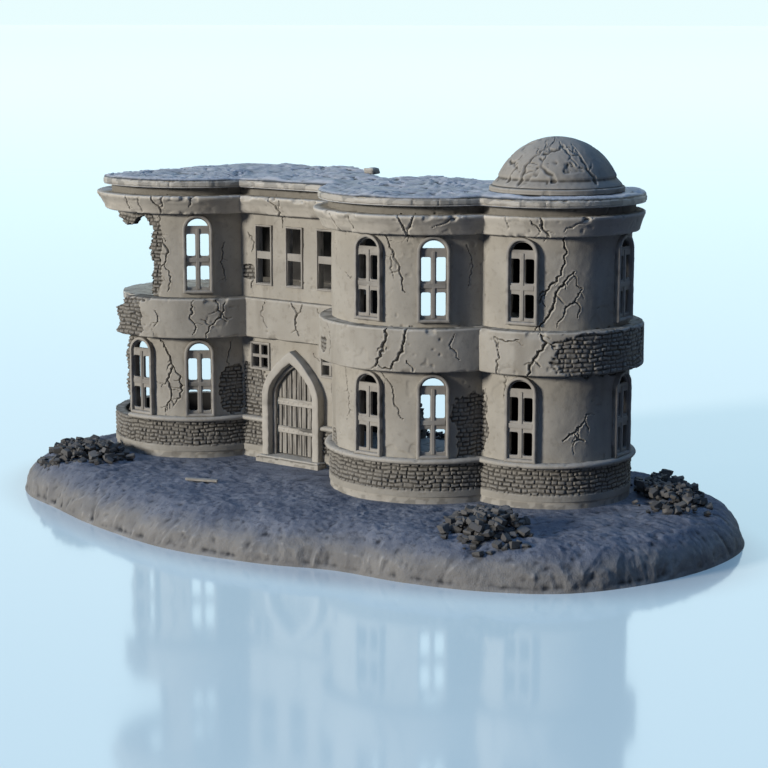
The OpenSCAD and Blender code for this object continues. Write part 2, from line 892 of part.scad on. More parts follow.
module dome_ring() color("tan")
    translate([DOME[0], DOME[1], 0])
        difference() {
            union() {
                translate([0, 0, slab_top])
                    cylinder(r = dome_ring_r, h = dome_ring_h, $fn = smooth);
                translate([0, 0, slab_z + 0.5])
                    cylinder(r = dome_hole_r - dome_play, h = slab_top - slab_z, $fn = smooth);
            }
            translate([0, 0, slab_z - 1])
                cylinder(r = dome_hole_r - dome_shell_t, h = far, $fn = smooth);
        }
module dome_shell() color("tan")
    translate([DOME[0], DOME[1], slab_top + dome_ring_h])
        intersection() {
            translate([0, 0, dome_h - dome_sphere_r])
                difference() {
                    sphere(r = dome_sphere_r, $fn = smooth);
                    sphere(r = dome_sphere_r - dome_shell_t, $fn = smooth);
                }
            cylinder(r = dome_r + 1, h = far, $fn = smooth);
        }

terrain_base();
foundation();
doorstep();
rubble_left();
rubble_front();
rubble_right();
rubble_rear();
plank_leaning();
plank_lying();
plinth_left_bay();
plinth_entrance();
plinth_middle_bay();
plinth_tower();
plinth_rear();
moulding_left_bay();
moulding_entrance();
moulding_middle_bay();
moulding_tower();
moulding_rear();
ground_wall_left_bay();
ground_wall_entrance();
ground_wall_middle_bay();
ground_wall_tower();
ground_wall_rear();
ground_window_frames();
ground_window_sashes();
small_windows();
door_surround();
door_inner_frame();
door_hinge_pins();
door_leaf();
door_battens();
door_hinge_barrels();
belt_left_bay();
belt_entrance();
belt_middle_bay();
belt_tower();
belt_rear();
upper_floor();
tower_floor();
upper_wall_left_bay();
upper_wall_entrance();
upper_wall_middle_bay();
upper_wall_tower();
upper_wall_rear();
upper_window_frames();
upper_window_sashes();
tall_windows();
cornice_left_bay();
cornice_entrance();
cornice_middle_bay();
cornice_tower();
cornice_rear();
upper_storey_pegs();
recessed_course();
roof_slab();
parapet_stub();
roof_pegs();
dome_ring();
dome_shell();
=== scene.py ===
import math
import bpy
import numpy as np
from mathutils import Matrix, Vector


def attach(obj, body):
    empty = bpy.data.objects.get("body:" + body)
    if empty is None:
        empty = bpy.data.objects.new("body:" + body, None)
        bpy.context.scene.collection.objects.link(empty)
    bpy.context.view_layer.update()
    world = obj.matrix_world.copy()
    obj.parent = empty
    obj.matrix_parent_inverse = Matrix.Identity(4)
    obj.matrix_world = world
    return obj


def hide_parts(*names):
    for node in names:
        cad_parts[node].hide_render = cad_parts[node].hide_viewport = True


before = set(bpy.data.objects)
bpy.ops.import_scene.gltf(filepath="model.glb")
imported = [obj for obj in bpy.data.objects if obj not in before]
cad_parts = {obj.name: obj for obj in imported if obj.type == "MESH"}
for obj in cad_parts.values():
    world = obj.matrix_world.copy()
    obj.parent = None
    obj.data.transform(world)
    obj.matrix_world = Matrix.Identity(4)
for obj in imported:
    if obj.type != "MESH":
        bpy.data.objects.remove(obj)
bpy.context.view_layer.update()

MM = 0.001

# ---------------------------------------------------------------- plan and levels, in mm
LEFT = (-95.0, 12.1, 35.0)
MIDDLE = (30.5, 4.9, 37.2)
TOWER = (75.2, 20.6, 30.9)
DOME = (79.8, 18.2, 23.3)
BAYS = {"left_bay": LEFT, "middle_bay": MIDDLE, "tower": TOWER}
FRONT_Y, BACK_Y, LEFT_X, RIGHT_X = 1.6, 64.0, -111.0, 70.0
WALL_T = 3.2
GROUND_Z = 15.2
FOUNDATION_OUT = 0.8
PLINTH_Z = 17.9
FOOTING_Z = 20.3
MOULDING_Z = 30.4
GROUND_WALL_Z = 32.4
BELT_Z = 65.3
UPPER_WALL_Z = 81.6
CORNICE_Z = 115.8
RECESS_Z = 123.2
SLAB_Z = 126.5
SLAB_TOP = 130.4
SLAB_OUT = 4.9
FLOOR_Z, FLOOR_T = 78.0, 3.0
BELT_OUT, STRAIGHT_BELT_OUT = 5.1, 3.0
DOOR_X = -33.5
SPRING_Z = 42.6
ARCH_STRAIGHT = 0.38
WINDOW_W, WINDOW_H, WINDOW_BORDER = 12.2, 32.0, 1.3
UPPER_WINDOW_Z = UPPER_WALL_Z + 1.8
SMALL_W, SMALL_H, SMALL_Z = 10.4, 11.6, 51.8
TALL_W, TALL_H, TALL_Z = 8.8, 24.6, 86.8
TALL_X = [DOOR_X - 16, DOOR_X, DOOR_X + 16]
SMALL_X = [DOOR_X - 18.4, DOOR_X + 18.4]
GROUND_WINDOWS = [(LEFT, -90), (LEFT, -48), (MIDDLE, -90), (MIDDLE, -51), (TOWER, -75), (TOWER, 5)]
UPPER_WINDOWS = [(LEFT, -48), (MIDDLE, -90), (MIDDLE, -51), (TOWER, -75), (TOWER, 5)]
LUNETTE_Z = 27.4
PANE_X, PANE_HALF_W, PANE_ROWS = 2.75, 1.75, ((2.5, 11.2), (15.2, 24.2))
TOWER_DOOR_ANGLE, TOWER_DOOR_W = 165, 13
SURROUND_W, SURROUND_RISE, SURROUND_HOLE_RISE = 29.6, 19.0, 18.4
DOORWAY_W, DOORWAY_RISE = 22.8, 13.9
LEAF_W, LEAF_Y, LEAF_T, LEAF_Z, LEAF_RISE, PLANK_COUNT = 20.6, 2.1, 1.6, 18.4, 12.7, 8
DOME_RISE, DOME_WALL, DOME_FOOT_Z = 17.9, 2.4, SLAB_TOP + 2.2
SPIGOT_HOLE_R = 19.8
COURSE_H = 1.6
FINE, COARSE = 0.33, 1.1

BASE_OUTLINE = [
    (-154, -4), (-147, -38), (-128, -58), (-100, -69), (-66, -81), (-21, -90), (20, -86),
    (49, -77), (78, -75), (106, -68), (131, -53), (147, -26), (154, 8), (149, 42),
    (128, 68), (88, 84), (30, 90), (-40, 89), (-100, 80), (-138, 52)]
GROUND_LEFT_GONE = [
    (-200, 0), (-104, 0), (-105, 38), (-107.5, 44), (-105.5, 50), (-107, 56), (-104, 61),
    (-105, 70), (-200, 70)]
UPPER_LEFT_GONE = [
    (-200, 70), (-88.5, 70), (-90, 88), (-88.5, 94), (-90.2, 101), (-88.8, 107),
    (-90.5, 112), (-93, 114.6), (-97, 113.4), (-100, 110.6), (-106, 110.4), (-110, 112.5), (-114,
                                                                                            116), (-200, 118)]
BELT_LEFT_GONE = [
    (-200, 60), (-103, 60), (-106, 67), (-104.5, 72), (-106.5, 76), (-101, 79), (-99, 84),
    (-200, 84)]
REAR_GROUND_GONE = [
    (-16, 0), (-14, 24), (-18, 33), (-15, 45), (-20, 55), (-26, 70), (34, 70), (28, 58),
    (18, 50), (21, 40), (13, 31), (15, 22), (10, 0)]
REAR_UPPER_GONE = [
    (-28, 60), (-31, 72), (-38, 80), (-36, 92), (-40, 104), (-35, 116), (-38, 140), (52, 140),
    (50, 116), (55, 100), (48, 88), (50, 74), (40, 60)]
ROOF_KEPT = [
    (-115, -40), (-116.5, -8), (-115, 20), (-117, 48), (-116, 70), (-92, 68), (-72, 64),
    (-55, 66), (-35, 52), (-26, 43), (-14, 37), (0, 39), (8, 45), (24, 52), (40, 50),
    (52, 60), (78, 69), (120, 69), (120, -40)]
UPPER_FLOOR_KEPT = [
    (-128, 6), (-126, 20), (-128, 66), (-38, 66), (-43, 52), (-36, 40), (-40, 24), (-30, 10),
    (-30, -40), (-108, -40), (-108, -22), (-118, -12)]


# ---------------------------------------------------------------- noise
def hashed(ix, iy, iz, seed):
    u = np.uint32
    h = (ix.astype(u) * u(73856093)) ^ (iy.astype(u) * u(19349663)) ^ (iz.astype(u) * u(83492791))
    h = h ^ u((seed * 2654435761) & 0xFFFFFFFF)
    h = (h ^ (h >> u(13))) * u(1274126177)
    h = (h ^ (h >> u(16))) * u(2246822519)
    return (h ^ (h >> u(15))).astype(np.float64) / 2147483648.0 - 1.0


def noise(p, size, seed=0):
    """Smooth noise from -1 to 1 at points in mm, with features of the given size."""
    q = np.asarray(p, float) / size
    i = np.floor(q)
    f = q - i
    f = f * f * (3 - 2 * f)
    i = i.astype(np.int64)
    total = 0.0
    for dx in (0, 1):
        for dy in (0, 1):
            for dz in (0, 1):
                w = ((f[..., 0] if dx else 1 - f[..., 0]) * (f[..., 1] if dy else 1 - f[..., 1])
                     * (f[..., 2] if dz else 1 - f[..., 2]))
                total = total + w * hashed(i[..., 0] + dx, i[..., 1] + dy, i[..., 2] + dz, seed)
    return total


def fractal(p, size, octaves=4, seed=0, gain=0.5):
    total, amp, norm = 0.0, 1.0, 0.0
    for k in range(octaves):
        total = total + amp * noise(p, size / 2 ** k, seed + 17 * k)
        norm += amp
        amp *= gain
    return total / norm


def ridges(p, size, octaves=3, seed=0):
    total, amp, norm = 0.0, 1.0, 0.0
    for k in range(octaves):
        total = total + amp * (1 - 2 * np.abs(noise(p, size / 2 ** k, seed + 29 * k)))
        norm += amp
        amp *= 0.5
    return total / norm


def jitter(p, size, seeds):
    """An uneven shift in three directions, from one seed for each."""
    return np.stack([noise(p, size, seed) for seed in seeds], -1)


def swirl(p, size, seed):
    """An uneven sideways shift, level with the ground."""
    return np.stack([noise(p, size, seed), noise(p, size, seed + 1), p[..., 0] * 0], -1)


def in_plan(x, y):
    return np.stack([x, y, x * 0], -1)


def smoothstep(a, b, x):
    t = np.clip((x - a) / (b - a), 0, 1)
    return t * t * (3 - 2 * t)


def blur(h, r):
    for axis in (0, 1):
        pad = [(r, r) if a == axis else (0, 0) for a in (0, 1)]
        c = np.cumsum(np.pad(h, pad, mode="edge"), axis=axis)
        z = np.zeros_like(np.take(c, [0], axis=axis))
        c = np.concatenate([z, c], axis=axis)
        n = h.shape[axis]
        hi = np.take(c, np.arange(2 * r + 1, 2 * r + 1 + n), axis=axis)
        lo = np.take(c, np.arange(0, n), axis=axis)
        h = (hi - lo) / (2 * r + 1)
    return h


# ---------------------------------------------------------------- cracks and bricks
def crack(rng, start, heading, length, width, depth, tip=0.25, bend=32, twigs=0.3, step=2.2):
    """A branching crack as segments: start, end, half width at each end, depth."""
    segs, p, a = [], np.array(start, float), math.radians(heading)
    n = max(2, int(length / step))
    for k in range(n):
        q = p + step * np.array([math.cos(a), math.sin(a)]) * rng.uniform(0.7, 1.3)
        w0 = width + (tip - width) * k / n
        w1 = width + (tip - width) * (k + 1) / n
        segs.append((p, q, w0, w1, depth * (1 - 0.5 * k / n)))
        if k > 0 and rng.random() < twigs and length > 8:
            turn = rng.choice([-1, 1]) * rng.uniform(35, 75)
            segs += crack(rng, q, math.degrees(a) + turn, length * rng.uniform(0.25, 0.5),
                          w1 * 0.7, depth * 0.7, tip * 0.8, bend, twigs * 0.5, step)
        p = q
        a = math.radians(heading) + math.radians(rng.uniform(-bend, bend))
    return segs


CRACK_WIDTH = 0.56


def vein(rng, points, width, depth, wander=0.6, step=1.3, twigs=0.18):
    """A crack that wanders along a line of points, narrowing at both ends."""
    line = [np.array(points[0], float)]
    for a, b in zip(points[:-1], points[1:]):
        a, b = np.array(a, float), np.array(b, float)
        length = np.linalg.norm(b - a)
        n = max(1, int(round(length / step)))
        side = np.array([b[1] - a[1], a[0] - b[0]]) / length
        for k in range(1, n + 1):
            line.append(a + (b - a) * k / n + side * rng.uniform(-wander, wander) * (k < n))
    n = len(line) - 1
    half = [CRACK_WIDTH * width * (0.45 + 0.55 * math.sin(math.pi * (k + 0.3) / (n + 0.6)))
            * rng.uniform(0.8, 1.2) for k in range(n + 1)]
    segs = []
    for k in range(n):
        segs.append((line[k], line[k + 1], half[k], half[k + 1], depth))
        if rng.random() < twigs:
            along = line[k + 1] - line[k]
            heading = math.degrees(math.atan2(along[1], along[0])) + rng.choice([-1, 1]) * rng.uniform(30, 65)
            segs += crack(rng, line[k + 1], heading, rng.uniform(2.5, 5), 0.8 * half[k], 0.6 * depth, 0.2,
                          twigs=0, step=1.4)
    return segs


LIP, LIP_W = 0.16, 0.8


def crack_field(points, segs):
    """How deep the cracks are at each point, below zero where their lips stand proud."""
    field = np.zeros(points.shape[:-1])
    lip = np.zeros(points.shape[:-1])
    for a, b, w0, w1, depth in segs:
        a, b = np.asarray(a, float), np.asarray(b, float)
        reach = max(w0, w1) + LIP_W
        near = np.all((points > np.minimum(a, b) - reach) & (points < np.maximum(a, b) + reach), -1)
        if not near.any():
            continue
        p = points[near]
        ab = b - a
        t = np.clip(((p - a) @ ab) / (ab @ ab), 0, 1)
        d = np.linalg.norm(p - a - t[:, None] * ab, axis=1)
        w = w0 + (w1 - w0) * t
        v = depth * np.clip(1 - d / w, 0, 1) ** 0.6
        field[near] = np.maximum(field[near], v)
        lip[near] = np.maximum(lip[near], LIP * depth * np.clip(1 - np.maximum(d - w, 0) / LIP_W, 0, 1))
    return np.where(field > 0, field, -lip)


def bricks(P, S, Z, z0, seed, height=COURSE_H, shortest=1.6, longest=4.0):
    """Irregular coursed stones: their height, and a random number for each."""
    z = Z - z0 + 0.30 * height * noise(P, 3.4, seed) + 0.30 * height * noise(P * (1, 1, 0.3), 8.0, seed + 6)
    s = S + 0.35 * noise(P, 2.6, seed + 1)
    row = np.floor(z / height).astype(int)
    v = z / height - row
    rnd = np.zeros(S.shape)
    du = np.full(S.shape, 9.0)
    lo, hi = S.min() - 12, S.max() + 12
    for r in np.unique(row):
        g = np.random.default_rng(seed * 1000 + int(r) + 500)
        cuts = lo + np.cumsum(g.uniform(shortest, longest, int((hi - lo) / shortest) + 4)) - shortest
        here = row == r
        k = np.clip(np.searchsorted(cuts, s[here]), 1, len(cuts) - 1)
        du[here] = np.minimum(s[here] - cuts[k - 1], cuts[k] - s[here])
        rnd[here] = g.random(len(cuts))[k]
    dv = np.minimum(v, 1 - v) * height
    edge = np.minimum(du, dv) + 0.17 * noise(P, 1.2, seed + 2)
    face = smoothstep(0.04, 0.46, edge)
    h = face * (0.36 + 0.50 * rnd) + 0.12 * noise(P, 1.5, seed + 3)
    return h, rnd


# ---------------------------------------------------------------- meshes
def build(name, verts, faces, paint=None, crease=45):
    verts = np.asarray(verts, np.float32) * MM
    faces = np.asarray(faces, np.int32)
    me = bpy.data.meshes.new(name)
    me.vertices.add(len(verts))
    me.vertices.foreach_set("co", verts.ravel())
    me.loops.add(faces.size)
    me.loops.foreach_set("vertex_index", faces.ravel())
    me.polygons.add(len(faces))
    me.polygons.foreach_set("loop_start", np.arange(0, faces.size, faces.shape[1], dtype=np.int32))
    me.update(calc_edges=True)
    if paint is None:
        paint = np.zeros((len(verts), 4))
    layer = me.color_attributes.new("relief", "FLOAT_COLOR", "POINT")
    layer.data.foreach_set("color", np.asarray(paint, np.float32).ravel())
    me.shade_smooth()
    me.set_sharp_from_angle(angle=math.radians(crease))
    obj = bpy.data.objects.new(name, me)
    bpy.context.scene.collection.objects.link(obj)
    return obj


class Heap:
    """Gathers quads from several solids into one mesh."""

    def __init__(self):
        self.verts, self.faces, self.paint, self.n = [], [], [], 0

    def add(self, verts, faces, paint=None):
        verts = np.asarray(verts, float)
        self.verts.append(verts)
        self.faces.append(np.asarray(faces, int) + self.n)
        self.paint.append(np.zeros((len(verts), 4)) if paint is None else paint)
        self.n += len(verts)

    def build(self, name, crease=45):
        return build(name, np.concatenate(self.verts), np.concatenate(self.faces),
                     np.concatenate(self.paint), crease)


SIDE_SEED = 3


def shell(outer, inner, keep, paint_out, paint_in, wrap=False, steps=4, rough=0.15, side_paint=None,
          side_move=None):
    """A closed sheet between two grids of points, with the cells that are not kept left out."""
    ns, nz = outer.shape[:2]
    n = ns * nz
    ids = np.arange(n).reshape(ns, nz)
    nxt = np.roll(ids, -1, axis=0) if wrap else ids[1:]
    cur = ids if wrap else ids[:-1]
    a, b, c, d = cur[:, :-1], nxt[:, :-1], nxt[:, 1:], cur[:, 1:]
    quads = np.stack([a[keep], b[keep], c[keep], d[keep]], 1)
    faces = [quads, quads[:, ::-1] + n]
    off = np.zeros((keep.shape[0], 1), bool)
    below = np.concatenate([off, keep[:, :-1]], 1)
    above = np.concatenate([keep[:, 1:], off], 1)
    if wrap:
        before, after = np.roll(keep, 1, 0), np.roll(keep, -1, 0)
    else:
        gap = np.zeros((1, keep.shape[1]), bool)
        before = np.concatenate([gap, keep[:-1]], 0)
        after = np.concatenate([keep[1:], gap], 0)
    edges = []
    for other, p, q in ((below, a, b), (after, b, c), (above, c, d), (before, d, a)):
        m = keep & ~other
        edges.append(np.stack([p[m], q[m]], 1))
    edges = np.concatenate(edges)
    rim = np.unique(edges)
    slot = np.full(n, -1)
    slot[rim] = np.arange(len(rim))
    o, i = outer.reshape(-1, 3), inner.reshape(-1, 3)
    layers = [rim]
    verts, paint = [o, i], [paint_out.reshape(-1, 4), paint_in.reshape(-1, 4)]
    count = 2 * n
    for k in range(1, steps):
        t = k / steps
        p = o[rim] * (1 - t) + i[rim] * t
        if side_move is not None:
            p = side_move(p, rim, t)
        else:
            p = p + rough * jitter(p, 1.7, (SIDE_SEED, SIDE_SEED + 5, SIDE_SEED + 10))
        verts.append(p)
        sp = np.zeros((len(rim), 4))
        if side_paint is not None:
            sp[:] = side_paint
        sp[:, 0] += 0.35 * (noise(p, 2.2, SIDE_SEED + 40) > 0.1)
        paint.append(sp)
        layers.append(count + np.arange(len(rim)))
        count += len(rim)
    layers.append(rim + n)
    for k in range(steps):
        up, dn = layers[k], layers[k + 1]
        e0, e1 = slot[edges[:, 0]], slot[edges[:, 1]]
        faces.append(np.stack([up[e1], up[e0], dn[e0], dn[e1]], 1))
    verts, faces = np.concatenate(verts), np.concatenate(faces)
    paint = np.concatenate(paint)
    used = np.zeros(len(verts), bool)
    used[faces.ravel()] = True
    remap = np.cumsum(used) - 1
    return verts[used], remap[faces], paint[used]


def inside(poly, x, y):
    poly = np.asarray(poly, float)
    hit = np.zeros(np.shape(x), bool)
    x0, y0 = poly[-1]
    for x1, y1 in poly:
        cross = (y1 > y) != (y0 > y)
        with np.errstate(divide="ignore", invalid="ignore"):
            at = (x0 - x1) * (y - y1) / (y0 - y1) + x1
        hit ^= cross & (x < at)
        x0, y0 = x1, y1
    return hit


def to_polygon(poly, x, y):
    """Signed distance to a polygon, negative inside."""
    poly = np.asarray(poly, float)
    best = np.full(np.shape(x), 1e9)
    a = poly[-1]
    for b in poly:
        ab = b - a
        t = np.clip(((x - a[0]) * ab[0] + (y - a[1]) * ab[1]) / (ab @ ab), 0, 1)
        best = np.minimum(best, np.hypot(x - a[0] - t * ab[0], y - a[1] - t * ab[1]))
        a = b
    return np.where(inside(poly, x, y), -best, best)


def to_plan(x, y, out):
    """Signed distance to the building's plan grown by the given amount."""
    best = np.minimum.reduce([np.hypot(x - b[0], y - b[1]) - b[2] - out for b in (LEFT, MIDDLE, TOWER)])
    cx, cy = (LEFT_X + RIGHT_X) / 2, (FRONT_Y + BACK_Y) / 2
    qx = np.abs(x - cx) - (RIGHT_X - LEFT_X) / 2 - out
    qy = np.abs(y - cy) - (BACK_Y - FRONT_Y) / 2 - out
    box = np.hypot(np.maximum(qx, 0), np.maximum(qy, 0)) + np.minimum(np.maximum(qx, qy), 0)
    return np.minimum(best, box)


# ---------------------------------------------------------------- paths along the walls
def arc(bay, *spans):
    """Angles in degrees with a step in mm for each span; a path anticlockwise round a bay."""
    parts = []
    for a0, a1, res in spans:
        n = max(2, int(round(math.radians(a1 - a0) * bay[2] / res)))
        parts.append(np.linspace(a0, a1, n + 1)[:-1])
    angles = np.concatenate(parts + [[spans[-1][1]]])
    wrap = abs(spans[-1][1] - spans[0][0] - 360) < 1e-6
    if wrap:
        angles = angles[:-1]
    t = np.radians(angles)
    m = np.stack([np.cos(t), np.sin(t)], 1)
    return {"p": np.array(bay[:2]) + bay[2] * m, "m": m, "s": (t + math.pi / 2) * bay[2], "wrap": wrap}


def run(points, res):
    """A path of straight runs with square mitred corners, wall faces to the right of travel."""
    points = np.asarray(points, float)
    p, m, s, at = [], [], [], 0.0
    for k in range(len(points) - 1):
        a, b = points[k], points[k + 1]
        length = np.linalg.norm(b - a)
        d = (b - a) / length
        normal = np.array([d[1], -d[0]])
        n = max(2, int(round(length / res)))
        t = np.linspace(0, 1, n + 1)
        mm = np.repeat(normal[None], n + 1, 0)
        if k > 0:
            mm[0] = normal + last
            p.pop(), m.pop(), s.pop()
        last = normal
        for j in range(n + 1):
            p.append(a + t[j] * (b - a)), m.append(mm[j]), s.append(at + t[j] * length)
        at += length
        if k < len(points) - 2:
            e = (points[k + 2] - b) / np.linalg.norm(points[k + 2] - b)
            m[-1] = normal + np.array([e[1], -e[0]])
    return {"p": np.array(p), "m": np.array(m), "s": np.array(s), "wrap": False}


LEFT_PATH = arc(LEFT, (-248.5, -118, COARSE), (-118, -12, FINE))
MIDDLE_PATH = arc(MIDDLE, (-180, -150, COARSE), (-150, 0, FINE))
TOWER_PATH = arc(TOWER, (-130, 40, FINE), (40, 230, COARSE))
ENTRANCE_PATH = run([(-83, FRONT_Y), (18.5, FRONT_Y)], FINE)
ENTRANCE_PATH["s"] = ENTRANCE_PATH["p"][:, 0]
REAR_PATH = run([(RIGHT_X, 32.6), (RIGHT_X, BACK_Y), (LEFT_X, BACK_Y), (LEFT_X, 24.1)], COARSE)
PATHS = {"left_bay": LEFT_PATH, "entrance": ENTRANCE_PATH, "middle_bay": MIDDLE_PATH,
         "tower": TOWER_PATH, "rear": REAR_PATH}


def on_bay_s(bay, angle):
    return math.radians(angle + 90) * bay[2]


# ---------------------------------------------------------------- openings in the walls
def arched_hole(x, z, w, h, foot):
    half = w / 2
    centre = foot + h - half
    return (np.abs(x) < half) & (z < centre) & (z > foot + 0.4) | (np.hypot(x, z - centre) < half)


def square_hole(x, z, w, h, foot):
    return (np.abs(x) < w / 2 - 0.5) & (np.abs(z - foot - h / 2) < h / 2 - 0.5)


def pointed_top(x, w, spring, rise):
    """The height of a pointed arch's inner edge at each distance from its centre line."""
    r = (rise ** 2 + (w / 2) ** 2) / w
    x = np.minimum(np.abs(x), w / 2)
    round_part = np.sqrt(np.maximum(r ** 2 - (x + r - w / 2) ** 2, 0))
    return spring + (1 - ARCH_STRAIGHT) * round_part + ARCH_STRAIGHT * rise * (1 - 2 * x / w)


def across(bay, angle, X, Y):
    """How far points lie to the side of a direction from a bay's middle, 99 where far round it."""
    d = (np.arctan2(Y - bay[1], X - bay[0]) - math.radians(angle) + math.pi) % (2 * math.pi) - math.pi
    return np.where(np.abs(d) < 1, bay[2] * np.sin(d), 99)


def holes(part, storey, X, Y, Z):
    """Which cells of a storey's wall are open for windows and doors."""
    gone = np.zeros(X.shape, bool)
    bay = BAYS.get(part)
    foot = GROUND_WALL_Z if storey == "ground" else UPPER_WINDOW_Z
    if bay is not None and storey in ("ground", "upper"):
        for window_bay, angle in GROUND_WINDOWS if storey == "ground" else UPPER_WINDOWS:
            if window_bay is bay:
                gone |= arched_hole(across(bay, angle, X, Y), Z, WINDOW_W - 1.3, WINDOW_H - 0.65, foot)
    if part == "tower" and storey != "whole":
        low, high = (PLINTH_Z, 40) if storey in ("ground", "plinth") else (UPPER_WALL_Z, 27)
        gone |= arched_hole(across(bay, TOWER_DOOR_ANGLE, X, Y), Z, TOWER_DOOR_W, high, low)
    if part == "entrance":
        if storey in ("ground", "plinth"):
            w = SURROUND_W - 1.2
            gone |= (np.abs(X - DOOR_X) < w / 2) & (Z < pointed_top(X - DOOR_X, w, SPRING_Z,
                                                                    SURROUND_HOLE_RISE))
        if storey == "ground":
            for x in SMALL_X:
                gone |= square_hole(X - x, Z, SMALL_W, SMALL_H, SMALL_Z)
        if storey == "upper":
            for x in TALL_X:
                gone |= square_hole(X - x, Z, TALL_W, TALL_H, TALL_Z)
    return gone


def torn(poly, X, Z, seed):
    """A ragged gap whose edge follows the brick courses."""
    row = np.floor(Z / COURSE_H).astype(np.int64)
    tooth = 0.6 * hashed(row, row * 0, row * 0, seed)
    P = np.stack([X, Z, Z * 0], -1)
    return inside(poly, X + tooth + 0.5 * noise(P, 1.6, seed), Z + 0.5 * noise(P, 2.0, seed + 3))


def hidden(part, X, Y, out):
    """Cells that would lie inside a neighbouring bay's wall."""
    depth = 1.1
    gone = np.zeros(X.shape, bool)
    for bay, cut in ((TOWER, ("middle_bay", "rear")), (LEFT, ("entrance", "rear")), (MIDDLE, ("entrance",))):
        if part in cut:
            gone |= np.hypot(X - bay[0], Y - bay[1]) < bay[2] + out - depth
    return gone


# ---------------------------------------------------------------- wall damage, by part
def veins(seed, bay, *lines):
    """Each line is a half width, a depth, then points as angle (or x on a straight wall) and height."""
    rng = np.random.default_rng(seed)
    segs = []
    for width, depth, *points in lines:
        if bay is not None:
            points = [(on_bay_s(bay, a), z) for a, z in points]
        segs += vein(rng, points, width, depth)
    return segs


